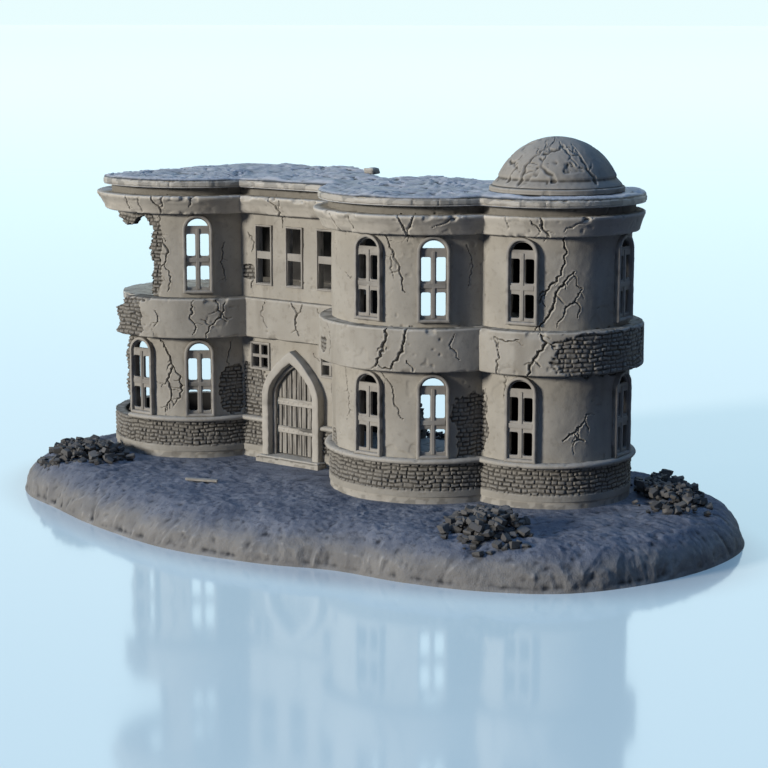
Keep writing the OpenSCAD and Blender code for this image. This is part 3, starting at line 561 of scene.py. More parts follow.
DAMAGE = {
    "left_bay": {
        "cracks": veins(
            5, LEFT,
            (0.75, 0.8, (-77, 110), (-72, 104), (-68, 100), (-71, 95), (-76, 90)),
            (0.55, 0.6, (-71, 95), (-66, 90), (-69, 84)), (0.6, 0.6, (-74, 115), (-73, 108), (-70, 104)),
            (0.8, 0.8, (-74, 123), (-71, 119), (-70, 116)), (0.6, 0.7, (-67, 123), (-70, 118)),
            (0.7, 0.7, (-92, 123), (-93, 117)), (0.6, 0.6, (-83, 122), (-84, 116)),
            (0.6, 0.6, (-50, 123), (-53, 119)), (0.6, 0.7, (-51, 81), (-53, 75), (-50, 70), (-52, 67)),
            (0.7, 0.8, (-32, 80), (-35, 74), (-42, 70), (-44, 66)), (0.5, 0.6, (-75, 77), (-72, 73),
                                                                     (-76, 69)),
            (0.5, 0.6, (-38, 81), (-37, 77), (-31, 73)),
            (0.8, 0.9, (-75, 65), (-69, 58), (-66, 53), (-70, 47), (-67, 41), (-72, 35)),
            (0.7, 0.8, (-66, 53), (-61, 49), (-60, 43), (-66, 37)), (0.5, 0.6, (-70, 47), (-75, 44)),
            (0.5, 0.6, (-30, 104), (-33, 96), (-29, 88)), (0.5, 0.5, (-25, 64), (-29, 56), (-27, 50))),
        "patches": [(-26, 43, 5.5, 10), (-81, 98, 5.0, 17), (-102, 72, 11, 11), (-112, 46, 8, 16)]},
    "middle_bay": {
        "cracks": veins(
            9, MIDDLE,
            (0.9, 1.0, (-75, 81.6), (-76, 77), (-77, 73), (-80, 70), (-81, 67)),
            (0.6, 0.8, (-80, 68), (-77, 66.4), (-72, 67)),
            (0.9, 1.0, (-65, 81.6), (-66, 77), (-67, 73), (-72, 68), (-73, 66)),
            (0.5, 0.6, (-65, 70), (-61, 66)), (0.5, 0.5, (-40, 80), (-43, 76), (-38, 70)),
            (0.7, 0.7, (-80, 115.8), (-75, 110), (-71, 105), (-69, 98), (-67, 94)),
            (0.5, 0.5, (-75, 110), (-76, 103), (-74, 99)), (0.6, 0.7, (-127, 115), (-123, 109), (-124, 103)),
            (0.5, 0.6, (-112, 100), (-106, 98), (-104, 99)),
            (0.8, 0.9, (-69, 123), (-67, 119), (-65, 116)), (0.7, 0.8, (-61, 123), (-63, 119), (-65, 115)),
            (0.7, 0.7, (-113, 122), (-110, 118), (-108, 115.5)), (0.6, 0.6, (-97, 122), (-96, 117)),
            (0.5, 0.5, (-52, 119), (-45, 121), (-38, 123)),
            (0.6, 0.7, (-112, 65), (-109, 58), (-107, 51), (-109, 44)),
            (0.6, 0.6, (-81, 64), (-74, 58), (-73, 52), (-68, 47)), (0.5, 0.5, (-32, 112), (-28, 104),
                                                                     (-31, 96)),
            (0.6, 0.6, (-118, 80), (-115, 74), (-117, 68))),
        "patches": [(-24, 44, 10, 12.5), (-130, 34, 5, 5), (-126, 72, 3.5, 3)]},
    "tower": {
        "cracks": veins(
            13, TOWER,
            (0.8, 0.9, (-47, 115.8), (-46, 111), (-46.5, 106), (-49, 102), (-59, 96), (-65, 91)),
            (0.7, 0.8, (-59, 96), (-63, 95), (-66, 92)),
            (0.9, 1.0, (-40, 103), (-50, 97), (-53, 92), (-57, 87), (-66, 81.6)),
            (0.7, 0.7, (-34, 97), (-39, 92), (-46, 89), (-51, 83)), (0.5, 0.6, (-40, 103), (-38, 98),
                                                                     (-34, 97)),
            (0.6, 0.6, (-39, 92), (-35, 90), (-37, 86)),
            (0.8, 0.9, (-62, 123), (-61, 119), (-57, 116)), (0.6, 0.7, (-68, 122), (-62, 118)),
            (0.5, 0.5, (-48, 118), (-40, 121), (-30, 123)), (0.5, 0.5, (-84, 123), (-82, 119)),
            (1.0, 1.1, (-62, 81), (-58, 78), (-65, 72), (-68, 68), (-69, 65.5)),
            (0.7, 0.8, (-58, 78), (-54, 76)), (0.6, 0.7, (-65, 72), (-61, 69)),
            (0.6, 0.7, (-90, 79), (-87, 74), (-88, 68), (-89, 65)), (0.6, 0.7, (-90, 79), (-82, 77.6),
                                                                     (-74, 79)),
            (0.5, 0.5, (-88, 65), (-87, 60), (-89, 56)),
            (0.8, 0.8, (-46, 41), (-39, 43), (-33, 46), (-29, 50)), (0.7, 0.7, (-38, 43.5), (-34, 41),
                                                                     (-30, 40)),
            (0.6, 0.7, (-34, 46), (-36, 41), (-39, 38)), (0.5, 0.6, (-31, 48), (-27, 44)),
            (0.6, 0.7, (60, 112), (64, 100), (57, 92), (61, 84)), (0.6, 0.7, (112, 60), (106, 50), (110, 40)),
            (0.6, 0.6, (-105, 58), (-103, 50))),
        "patches": [(-14, 72.5, 20, 8.5), (-117, 45, 7.5, 12), (100, 95, 9, 7), (60, 48, 8, 9)]},
    "entrance": {
        "cracks": veins(
            21, None,
            (0.8, 0.9, (-33, 81), (-30, 77), (-31, 72), (-29, 68)), (0.6, 0.7, (-27, 81), (-30, 76)),
            (0.5, 0.6, (-19, 80), (-17, 74), (-18, 68)), (0.8, 0.9, (-42, 123), (-39, 120), (-38, 117),
                                                          (-40, 114)),
            (0.6, 0.6, (-36, 122), (-38, 118)), (0.5, 0.6, (-8, 122), (-10, 118), (-8, 114)),
            (0.6, 0.7, (-58, 108), (-54.5, 104), (-56, 100)), (0.6, 0.7, (-60, 93), (-55, 89), (-57, 85)),
            (0.6, 0.6, (-9, 106), (-7, 100), (-9, 94)), (0.5, 0.5, (-47, 81), (-49, 75), (-46, 70)),
            (0.5, 0.5, (-24, 61), (-20, 58), (-21, 66))),
        "patches": [(-56.5, 38, 8.5, 14), (-10, 50, 5, 10), (-12, 24, 6, 8), (-58, 92, 3.5, 3.5)]},
    "rear": {
        "cracks": veins(
            27, None,
            (0.7, 0.8, (60, 112), (64, 102), (58, 94), (61, 86)), (0.7, 0.8, (110, 62), (104, 52), (108, 42),
                                                                   (103, 36)),
            (0.8, 0.9, (150, 114), (156, 104), (150, 96), (155, 86)), (0.7, 0.8, (190, 60), (186, 50),
                                                                       (190, 40)),
            (0.7, 0.8, (20, 62), (24, 52), (19, 44), (22, 36)), (0.7, 0.8, (170, 81), (173, 75), (169, 68)),
            (0.6, 0.7, (40, 81), (43, 74), (40, 67))),
        "patches": [(75, 45, 9, 8), (150, 95, 9, 9), (185, 50, 10, 8), (40, 100, 8, 7)]},
}
SEEDS = {"left_bay": 101, "middle_bay": 202, "tower": 303, "entrance": 404, "rear": 505}


def plaster(part, P, S, Z, torn_edge):
    """Weathered plaster over coursed stone: relief, stone mask and a random tone."""
    seed = SEEDS[part]
    look = DAMAGE[part]
    h = 0.26 * fractal(P, 16, 3, seed) + 0.12 * fractal(P, 4, 3, seed + 1)
    flake = smoothstep(0.30, 0.36, fractal(P, 16, 4, seed + 3, 0.6))
    h = h - 0.20 * flake
    pit = smoothstep(0.55, 0.80, noise(P, 1.9, seed + 4)) * smoothstep(0.05, 0.4, noise(P, 11, seed + 5))
    h = h - 0.28 * pit
    here = np.stack([S + 0.35 * noise(P, 1.4, seed + 6), Z + 0.35 * noise(P, 1.4, seed + 7)], -1)
    h = h - crack_field(here, look["cracks"])
    mask = np.zeros(S.shape)
    bay = BAYS.get(part)
    for angle, z, rs, rz in look["patches"]:
        s = on_bay_s(bay, angle) if bay is not None else angle
        near = 1 - (((S - s) / rs) ** 4 + ((Z - z) / rz) ** 4) ** 0.25
        mask = np.maximum(mask, smoothstep(0.0, 0.08, near + 0.42 * fractal(P, 6, 4, seed + 8, 0.65)))
    if torn_edge is not None:
        mask = np.maximum(mask, smoothstep(0.0, 0.5, 1 - torn_edge / 4.5 + 0.6 * fractal(P, 4, 3, seed + 9)))
    stone, rnd = bricks(P, S, Z, 0, seed)
    h = h * (1 - mask) + (stone - 0.95) * mask
    return h, mask, rnd


def paint_from(h, mask, rnd, cavity_gain=2.2, wear_gain=2.6):
    # cavity darkens recesses: dark wash that also stands in for shade there (painted shade); the fourth channel is
    # edge wear.
    rough = blur(h, 3)
    cavity = np.clip((rough - h) * cavity_gain, 0, 1)
    wear_and_inner_shade = np.clip((h - blur(h, 2)) * wear_gain, 0, 1)
    return np.stack([cavity, mask, rnd, wear_and_inner_shade], -1)


def rounded(d, r):
    """How far a face is pulled in near an edge with a rounded corner."""
    t = np.clip(1 - d / r, 0, 1)
    return r * (1 - np.sqrt(1 - t ** 2))


def off_path(path, out, Z):
    """Points at the given distances out from a path, at the given heights."""
    p, m = path["p"], path["m"]
    return np.stack([p[:, :1] + m[:, :1] * out, p[:, 1:] + m[:, 1:] * out, Z], -1)


def course(part, kind, storey, z0, z1, profile, meet=None, round_top=0.0, round_foot=0.0, gaps=(),
           rear_gaps=(), res=None, chips=0.0, plan=None):
    """One course of the wall along a part's path, from height z0 to z1."""
    path = PATHS[part]
    fine = res or (FINE if part != "rear" else COARSE)
    rows = max(3, int(math.ceil((z1 - z0) / fine)))
    z = np.linspace(z0, z1, rows + 1)
    p, m, s = path["p"], path["m"], path["s"]
    out = np.array([profile(v) for v in z])
    S, Z = np.meshgrid(s, z, indexing="ij")
    O = np.repeat(out[None], len(s), 0)
    X, Y = p[:, :1] + m[:, :1] * O, p[:, 1:] + m[:, 1:] * O
    P = np.stack([X, Y, Z], -1)
    seed = SEEDS[part]

    nx = np.roll(p, -1, 0) if path["wrap"] else p[1:]
    cp = (p + nx) / 2 if path["wrap"] else (p[:-1] + p[1:]) / 2
    cm = (m + np.roll(m, -1, 0)) / 2 if path["wrap"] else (m[:-1] + m[1:]) / 2
    zc = (z[:-1] + z[1:]) / 2
    oc = (out[:-1] + out[1:]) / 2
    CX0 = np.repeat(cp[:, :1], rows, 1)
    CY0 = np.repeat(cp[:, 1:], rows, 1)
    CX, CY = CX0 + cm[:, :1] * oc[None], CY0 + cm[:, 1:] * oc[None]
    CZ = np.repeat(zc[None], len(cp), 0)
    keep = ~holes(part, storey, CX, CY, CZ)
    keep &= ~hidden(part, CX, CY, np.array([(meet or profile)(v) for v in zc])[None])
    if plan is not None:
        keep &= inside(plan, CX, CY)
    for k, poly in enumerate(gaps):
        keep &= ~torn(poly, CX, CZ, seed + 60 + k)
    for k, poly in enumerate(rear_gaps):
        keep &= ~(torn(poly, CX, CZ, seed + 80 + k) & (CY > BACK_Y - 10))

    edge = None
    for poly in gaps:
        d = np.abs(to_polygon(poly, X, Z))
        edge = d if edge is None else np.minimum(edge, d)
    for poly in rear_gaps:
        d = np.where(Y > BACK_Y - 10, np.abs(to_polygon(poly, X, Z)), 99)
        edge = d if edge is None else np.minimum(edge, d)

    if kind == "stones":
        h, rnd = bricks(P, S, Z, z0 + 0.1, seed + 11)
        footing = smoothstep(FOOTING_Z + 0.25, FOOTING_Z - 0.25, Z)
        h, mask = (h - 0.70) * (1 - footing) + (0.08 * fractal(P, 5, 3,
                                                               seed + 12) - 0.05) * footing, 1 - footing
    elif kind == "smooth":
        h = 0.10 * fractal(P, 6, 3, seed + 12) + 0.04 * noise(P, 1.0, seed + 13)
        h -= 0.30 * smoothstep(0.45, 0.6, noise(P, 3.0, seed + 14))
        h -= 0.5 * crack_field(np.stack([S, Z], -1), DAMAGE[part]["cracks"])
        mask, rnd = np.zeros(S.shape), np.zeros(S.shape)
    else:
        h, mask, rnd = plaster(part, P, S, Z, edge)
    if round_top:
        h = h - rounded(z1 - Z, round_top * (1 + 0.5 * noise(P, 7, seed + 15)))
    if round_foot:
        h = h - rounded(Z - z0, round_foot * (1 + 0.5 * noise(P, 7, seed + 16)))
    if chips:
        lip = np.minimum(z1 - Z, Z - z0 + 1.0)
        bite = smoothstep(0.18, 0.42, fractal(P, 7, 3, seed + 17)) * smoothstep(3.0, 0.4, lip)
        h = h - chips * bite
    paint = paint_from(h, mask, rnd, *((2.2, 2.6) if kind == "stones" else (1.5, 2.2)))
    # Painted shade: the recessed band under the roof slab is darkened as if in the slab's shadow.
    if z0 == RECESS_Z:
        paint[..., 0] = np.clip(paint[..., 0] + 0.45, 0, 1)
    outer = off_path(path, O + h, Z)
    back = -WALL_T + 0.12 * fractal(P, 5, 3, seed + 18)
    inner = off_path(path, back, Z)
    # Inner faces get painted shade: dark wash, dark stone tone and -1 in the fourth channel, which the materials
    # turn near-black, for the shaded interior.
    inner_shade = np.clip(0.85 + 0.3 * noise(P, 7, seed + 19), 0, 1)
    paint_in = np.stack([0.5 * inner_shade, inner_shade, inner_shade, 0 * Z - 1], -1)
    side = (0.12, 0.0, 0.4, 0.0) if not (gaps or rear_gaps) else (0.15, 0.8, 0.4, 0.0)
    return shell(outer, inner, keep, paint, paint_in, path["wrap"], 4, 0.16, side)


# ---------------------------------------------------------------- materials
def nodes_of(name):
    mat = bpy.data.materials.new(name)
    mat.use_nodes = True
    tree = mat.node_tree
    tree.nodes.clear()
    out = tree.nodes.new("ShaderNodeOutputMaterial")
    shader = tree.nodes.new("ShaderNodeBsdfPrincipled")
    tree.links.new(shader.outputs["BSDF"], out.inputs["Surface"])
    return mat, tree, shader


class Net:
    """Short calls for wiring a material."""

    def __init__(self, tree):
        self.t = tree
        self.coord = tree.nodes.new("ShaderNodeTexCoord").outputs["Object"]

    def link(self, a, socket):
        if hasattr(a, "is_linked"):
            self.t.links.new(a, socket)
        else:
            socket.default_value = a

    def stretch(self, scale):
        n = self.t.nodes.new("ShaderNodeMapping")
        n.inputs["Scale"].default_value = scale
        self.t.links.new(self.coord, n.inputs["Vector"])
        return n.outputs["Vector"]

    def noise(self, size_mm, detail=4, rough=0.55, vector=None, distort=0.0):
        n = self.t.nodes.new("ShaderNodeTexNoise")
        self.t.links.new(vector or self.coord, n.inputs["Vector"])
        n.inputs["Scale"].default_value = 1000 / size_mm
        n.inputs["Detail"].default_value = detail
        n.inputs["Roughness"].default_value = rough
        n.inputs["Distortion"].default_value = distort
        return n.outputs["Fac"]

    def cells(self, size_mm, feature="F1", out="Distance"):
        n = self.t.nodes.new("ShaderNodeTexVoronoi")
        n.feature = feature
        self.t.links.new(self.coord, n.inputs["Vector"])
        n.inputs["Scale"].default_value = 1000 / size_mm
        return n.outputs[out]

    def ramp(self, value, lo, hi, a=0.0, b=1.0):
        n = self.t.nodes.new("ShaderNodeMapRange")
        n.interpolation_type = "SMOOTHSTEP"
        self.t.links.new(value, n.inputs["Value"])
        for key, v in (("From Min", lo), ("From Max", hi), ("To Min", a), ("To Max", b)):
            n.inputs[key].default_value = v
        return n.outputs["Result"]

    def math(self, op, a, b):
        n = self.t.nodes.new("ShaderNodeMath")
        n.operation = op
        self.link(a, n.inputs[0])
        self.link(b, n.inputs[1])
        return n.outputs[0]

    def mix(self, fac, a, b, blend="MIX"):
        n = self.t.nodes.new("ShaderNodeMix")
        n.data_type = "RGBA"
        n.blend_type = blend
        self.link(fac, n.inputs["Factor"])
        for v, key in ((a, 6), (b, 7)):
            self.link(v if hasattr(v, "is_linked") else (*v, 1.0), n.inputs[key])
        return n.outputs[2]

    def relief(self):
        n = self.t.nodes.new("ShaderNodeAttribute")
        n.attribute_name = "relief"
        s = self.t.nodes.new("ShaderNodeSeparateColor")
        self.t.links.new(n.outputs["Color"], s.inputs["Color"])
        return s.outputs[0], s.outputs[1], s.outputs[2], n.outputs["Alpha"]

    def bump(self, height, mm, strength=1.0, normal=None):
        n = self.t.nodes.new("ShaderNodeBump")
        n.inputs["Distance"].default_value = mm * MM
        n.inputs["Strength"].default_value = strength
        self.t.links.new(height, n.inputs["Height"])
        if normal is not None:
            self.t.links.new(normal, n.inputs["Normal"])
        return n.outputs["Normal"]


PAINT_DEPTH = 0.86


def wash(name, base, light, dark, stone=None, stone_dark=None, cavity_dark=0.85, rough=(0.62, 0.85),
         specular=0.35, grain=0.12, streaks=0.35, speckle=0.30):
    """Painted plastic: mottled base, dark wash in the recesses that also paints shade there, dry-brushed edges,
    fine grit, and near-black painted shade on inner faces.
    """
    mat, tree, bsdf = nodes_of(name)
    n = Net(tree)
    cavity, brick, tone, wear_and_inner_shade = n.relief()
    base, light, dark = (tuple(PAINT_DEPTH * v for v in c) for c in (base, light, dark))
    if stone is not None:
        stone, stone_dark = (tuple(PAINT_DEPTH * v for v in c) for c in (stone, stone_dark))
    blotch = n.ramp(n.noise(14, 5, 0.6), 0.35, 0.68)
    colour = n.mix(blotch, base, light)
    speck = n.ramp(n.noise(2.6, 4, 0.65), 0.52, 0.70)
    colour = n.mix(n.math("MULTIPLY", speck, speckle), colour, dark)
    if streaks:
        run_down = n.noise(9, 3, 0.5, n.stretch((1.0, 1.0, 0.14)))
        colour = n.mix(n.math("MULTIPLY", n.ramp(run_down, 0.55, 0.75), streaks), colour, dark)
    if stone is not None:
        brick_colour = n.mix(tone, stone, stone_dark)
        colour = n.mix(brick, colour, brick_colour)
    # Dark wash in recesses, partly painted shade.
    colour = n.mix(n.math("MULTIPLY", n.ramp(cavity, 0.02, 0.75), cavity_dark), colour,
                   tuple(0.30 * v for v in dark))
    edges = n.math("MULTIPLY", n.ramp(wear_and_inner_shade, 0.05, 0.6), 0.5)
    bright = tuple(min(1.0, 1.28 * v) for v in light)
    colour = n.mix(edges, colour,
                   bright if stone is None else n.mix(brick, bright, tuple(1.9 * v for v in stone)))
    # Painted shade: faces marked -1 in the fourth channel, the building's inner faces, turn near-black.
    colour = n.mix(n.ramp(wear_and_inner_shade, -1.0, -0.1, 0.72, 0.0), colour, (0.012, 0.013, 0.016))
    tree.links.new(colour, bsdf.inputs["Base Color"])
    tree.links.new(n.ramp(n.noise(3.5, 4, 0.6), 0.3, 0.7, *rough), bsdf.inputs["Roughness"])
    bsdf.inputs["Specular IOR Level"].default_value = specular
    fine = n.bump(n.noise(0.45, 3, 0.6), grain * 0.5)
    tree.links.new(n.bump(n.noise(1.6, 4, 0.6), grain, 0.8, fine), bsdf.inputs["Normal"])
    return mat


def timber(name, base, light, dark, along="Z"):
    mat, tree, bsdf = nodes_of(name)
    n = Net(tree)
    cavity, _, tone, wear_and_inner_shade = n.relief()
    scale = (1.0, 1.0, 0.09) if along == "Z" else (0.09, 1.0, 1.0)
    grain = n.noise(0.9, 5, 0.65, n.stretch(scale), 0.6)
    colour = n.mix(n.ramp(grain, 0.35, 0.65), dark, base)
    colour = n.mix(n.math("MULTIPLY", tone, 0.6), colour, light)
    colour = n.mix(n.math("MULTIPLY", n.ramp(cavity, 0.02, 0.6), 0.85), colour, tuple(0.25 * v for v in dark))
    colour = n.mix(n.math("MULTIPLY", n.ramp(wear_and_inner_shade, 0.05, 0.5), 0.6), colour, tuple(1.25 * v for v in light))
    tree.links.new(colour, bsdf.inputs["Base Color"])
    tree.links.new(n.ramp(grain, 0.3, 0.7, 0.85, 0.6), bsdf.inputs["Roughness"])
    bsdf.inputs["Specular IOR Level"].default_value = 0.3
    tree.links.new(n.bump(grain, 0.18), bsdf.inputs["Normal"])
    return mat


def steel(name):
    mat, tree, bsdf = nodes_of(name)
    n = Net(tree)
    rub = n.noise(0.8, 4, 0.6, n.stretch((1.0, 1.0, 0.1)))
    tree.links.new(n.mix(n.ramp(rub, 0.4, 0.6), (0.30, 0.30, 0.31), (0.46, 0.45, 0.44)),
                   bsdf.inputs["Base Color"])
    bsdf.inputs["Metallic"].default_value = 1.0
    tree.links.new(n.ramp(rub, 0.3, 0.7, 0.3, 0.5), bsdf.inputs["Roughness"])
    tree.links.new(n.bump(rub, 0.03), bsdf.inputs["Normal"])
    return mat


STONE, STONE_DARK = (0.255, 0.238, 0.21), (0.13, 0.122, 0.108)
WALL = wash("weathered_wall", (0.43, 0.40, 0.345), (0.50, 0.47, 0.41), (0.25, 0.22, 0.18), STONE, STONE_DARK,
            0.85, specular=0.12, grain=0.09, streaks=0.45)
DOME_PAINT = wash("weathered_dome", (0.34, 0.315, 0.275), (0.40, 0.375, 0.33), (0.19, 0.17, 0.14),
                  specular=0.12, grain=0.09, streaks=0.2)
CORNICE_PAINT = wash("weathered_cornice", (0.55, 0.515, 0.445), (0.64, 0.60, 0.525), (0.30, 0.265, 0.215),
                     STONE, STONE_DARK, 0.85, specular=0.12, grain=0.09, streaks=0.45)
BRICKWORK = wash("brickwork", (0.37, 0.345, 0.30), (0.43, 0.405, 0.355), (0.20, 0.18, 0.15),
                 (0.235, 0.22, 0.195), (0.125, 0.118, 0.107), 0.62, streaks=0.1, specular=0.15, grain=0.12)
TRIM = wash("trim_stone", (0.44, 0.415, 0.365), (0.52, 0.49, 0.435), (0.26, 0.23, 0.19), grain=0.05,
            specular=0.15, streaks=0.12)
FRAMES = wash("window_frames", (0.36, 0.335, 0.30), (0.45, 0.425, 0.38), (0.17, 0.155, 0.135), grain=0.06,
              specular=0.15, streaks=0.15)
# The ground's blue-grey base tone is partly painted sky light on its upward faces.
ROCK = wash("rock_ground", (0.14, 0.155, 0.195), (0.23, 0.245, 0.285), (0.045, 0.052, 0.075),
            (0.30, 0.29, 0.275), (0.21, 0.205, 0.20), 0.9, (0.7, 0.95), 0.2, 0.42, 0.0, 0.75)
RUBBLE = wash("rubble_stone", (0.11, 0.108, 0.108), (0.17, 0.165, 0.16), (0.04, 0.04, 0.045),
              (0.17, 0.16, 0.15), (0.055, 0.055, 0.057), 0.85, (0.7, 0.9), 0.2, 0.2, 0.0)
SLATE = wash("roof_slate", (0.33, 0.34, 0.37), (0.46, 0.47, 0.50), (0.09, 0.095, 0.115),
             (0.54, 0.505, 0.445), (0.45, 0.42, 0.37), 0.95, (0.40, 0.62), 0.45, 0.2, 0.0)
TIMBER = timber("painted_timber", (0.27, 0.25, 0.22), (0.33, 0.31, 0.275), (0.19, 0.175, 0.155))
BOARD = timber("painted_boards", (0.36, 0.34, 0.30), (0.41, 0.385, 0.34), (0.23, 0.21, 0.185), "X")
STEEL = steel("pin_steel")


def place(obj, mat, body, slot_name, *cad):
    obj.data.materials.clear()
    obj.data.materials.append(mat)
    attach(obj, body)
    if cad:
        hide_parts(*cad)
    return obj


# ---------------------------------------------------------------- camera, floor and light
def make_camera():
    azimuth, elevation, distance = math.radians(37.41), math.radians(9.85), 0.806
    target = Vector((0.0202, -0.0097, 0.0550))
    back = Vector((math.sin(azimuth) * math.cos(elevation), -math.cos(azimuth) * math.cos(elevation),
                   math.sin(elevation)))
    data = bpy.data.cameras.new("camera")
    data.lens, data.sensor_width = 98.3, 36
    cam = bpy.data.objects.new("camera", data)
    cam.location = target + back * distance
    cam.rotation_mode = "QUATERNION"
    cam.rotation_quaternion = (-back).to_track_quat("-Z", "Y")
    bpy.context.scene.collection.objects.link(cam)
    bpy.context.scene.camera = cam


def make_floor():
    size = 60.0
    me = bpy.data.meshes.new("studio_floor")
    me.from_pydata([(-size, -size, 0), (size, -size, 0), (size, size, 0), (-size, size, 0)], [],
                   [(0, 1, 2, 3)])
    obj = bpy.data.objects.new("studio_floor", me)
    bpy.context.scene.collection.objects.link(obj)
    mat, tree, bsdf = nodes_of("studio_floor")
    bsdf.inputs["Base Color"].default_value = (0.66, 0.66, 0.66, 1)
    bsdf.inputs["Roughness"].default_value = 0.09
    bsdf.inputs["IOR"].default_value = 2.1
    bsdf.inputs["Emission Color"].default_value = (0.165, 0.27, 0.31, 1)
    # Emission weakens close to the base: a painted contact shadow round the model on the floor.
    n = Net(tree)
    reach = tree.nodes.new("ShaderNodeVectorMath")
    reach.operation = "LENGTH"
    tree.links.new(n.stretch((1 / 0.157, 1 / 0.093, 0.0)), reach.inputs[0])
    near = n.ramp(reach.outputs["Value"], 0.95, 1.17, 0.30, 1.0)
    tree.links.new(near, bsdf.inputs["Emission Strength"])
    me.materials.append(mat)
    obj.visible_diffuse = False


def make_light():
    world = bpy.data.worlds.new("studio")
    bpy.context.scene.world = world
    world.use_nodes = True
    tree = world.node_tree
    tree.nodes.clear()
    out = tree.nodes.new("ShaderNodeOutputWorld")
    fill, back = tree.nodes.new("ShaderNodeBackground"), tree.nodes.new("ShaderNodeBackground")
    fill.inputs["Color"].default_value = (0.042, 0.055, 0.092, 1)
    back.inputs["Color"].default_value = (0.82, 0.99, 1.0, 1)
    path = tree.nodes.new("ShaderNodeLightPath")
    mix = tree.nodes.new("ShaderNodeMixShader")
    tree.links.new(path.outputs["Is Diffuse Ray"], mix.inputs[0])
    tree.links.new(back.outputs[0], mix.inputs[1])
    tree.links.new(fill.outputs[0], mix.inputs[2])
    tree.links.new(mix.outputs[0], out.inputs["Surface"])

    def sun(name, azimuth, elevation, strength, colour, spread):
        data = bpy.data.lights.new(name, "SUN")
        data.energy, data.color, data.angle = strength, colour, math.radians(spread)
        obj = bpy.data.objects.new(name, data)
        a, e = math.radians(azimuth), math.radians(elevation)
        at = Vector((math.cos(a) * math.cos(e), math.sin(a) * math.cos(e), math.sin(e)))
        obj.rotation_mode = "QUATERNION"
        obj.rotation_quaternion = at.to_track_quat("Z", "Y")
        bpy.context.scene.collection.objects.link(obj)

    sun("key", -116.5, 14, 3.25, (1.0, 0.955, 0.875), 10)
    sun("overhead", -90, 86, 1.15, (0.22, 0.50, 1.0), 60)
    bpy.context.scene.view_settings.view_transform = "Standard"


make_camera()
make_floor()
make_light()


# ---------------------------------------------------------------- wall courses
def constant(v):
    return lambda z: v


def flare(foot, lip):
    zs = [0, 1.6, 3.8, 5.6, 6.2, 7.4]
    f = [0, 0.18, 0.5, 0.88, 1, 1]
    return lambda z: foot + (lip - foot) * float(np.interp(z - CORNICE_Z, zs, f))


def moulding(z):
    t = (z - MOULDING_Z - 1.0)
    return 1.7 + 1.2 * math.sqrt(max(0.0, 1 - t * t))


CORNICE, TOWER_CORNICE = flare(3.5, 6.8), flare(2.7, 4.8)
PARTS = ["left_bay", "entrance", "middle_bay", "tower", "rear"]


def make_courses():
    for part in PARTS:
        rear_g = (REAR_GROUND_GONE,) if part == "rear" else ()
        rear_u = (REAR_UPPER_GONE,) if part == "rear" else ()
        on_left = part == "left_bay"
        v = course(part, "stones", "plinth", PLINTH_Z, MOULDING_Z, constant(1.2), rear_gaps=rear_g)
        place(build("masonry_plinth_" + part, *v), BRICKWORK, "base", "brickwork", "plinth_" + part)
        v = course(part, "smooth", "plinth", MOULDING_Z, GROUND_WALL_Z, moulding, rear_gaps=rear_g, res=0.25,
                   gaps=([(-200, 0), (-101, 0), (-101, 60), (-200, 60)],) if on_left else ())
        place(build("string_moulding_" + part, *v), TRIM, "base", "trim_stone", "moulding_" + part)
        v = course(part, "plaster", "ground", GROUND_WALL_Z, BELT_Z, constant(0), rear_gaps=rear_g,
                   gaps=(GROUND_LEFT_GONE,) if on_left else ())
        place(build("plaster_ground_" + part, *v), WALL, "base", "weathered_wall", "ground_wall_" + part)
        straight = part in ("entrance", "rear")
        v = course(part, "plaster", "belt", BELT_Z, UPPER_WALL_Z,
                   constant(STRAIGHT_BELT_OUT if straight else BELT_OUT),
                   meet=constant(BELT_OUT), round_top=0.9, round_foot=0.9, chips=0.9,
                   gaps=(BELT_LEFT_GONE,) if on_left else (),
                   rear_gaps=(REAR_UPPER_GONE, REAR_GROUND_GONE) if part == "rear" else ())
        place(build("belt_band_" + part, *v), WALL, "upper_storey", "weathered_wall", "belt_" + part)
        v = course(part, "plaster", "upper", UPPER_WALL_Z, CORNICE_Z, constant(0), rear_gaps=rear_u,
                   gaps=(UPPER_LEFT_GONE,) if on_left else ())
        place(build("plaster_upper_" + part, *v), WALL, "upper_storey", "weathered_wall",
              "upper_wall_" + part)
        v = course(part, "plaster", "whole", CORNICE_Z, RECESS_Z,
                   TOWER_CORNICE if part == "tower" else CORNICE,
                   meet=TOWER_CORNICE if part in ("middle_bay", "rear") else None,
                   round_top=0.6, round_foot=0.3, chips=1.1, rear_gaps=rear_u, res=0.4 if part != "rear" else None)
        place(build("cornice_band_" + part, *v), CORNICE_PAINT, "upper_storey", "weathered_wall",
              "cornice_" + part)


make_courses()


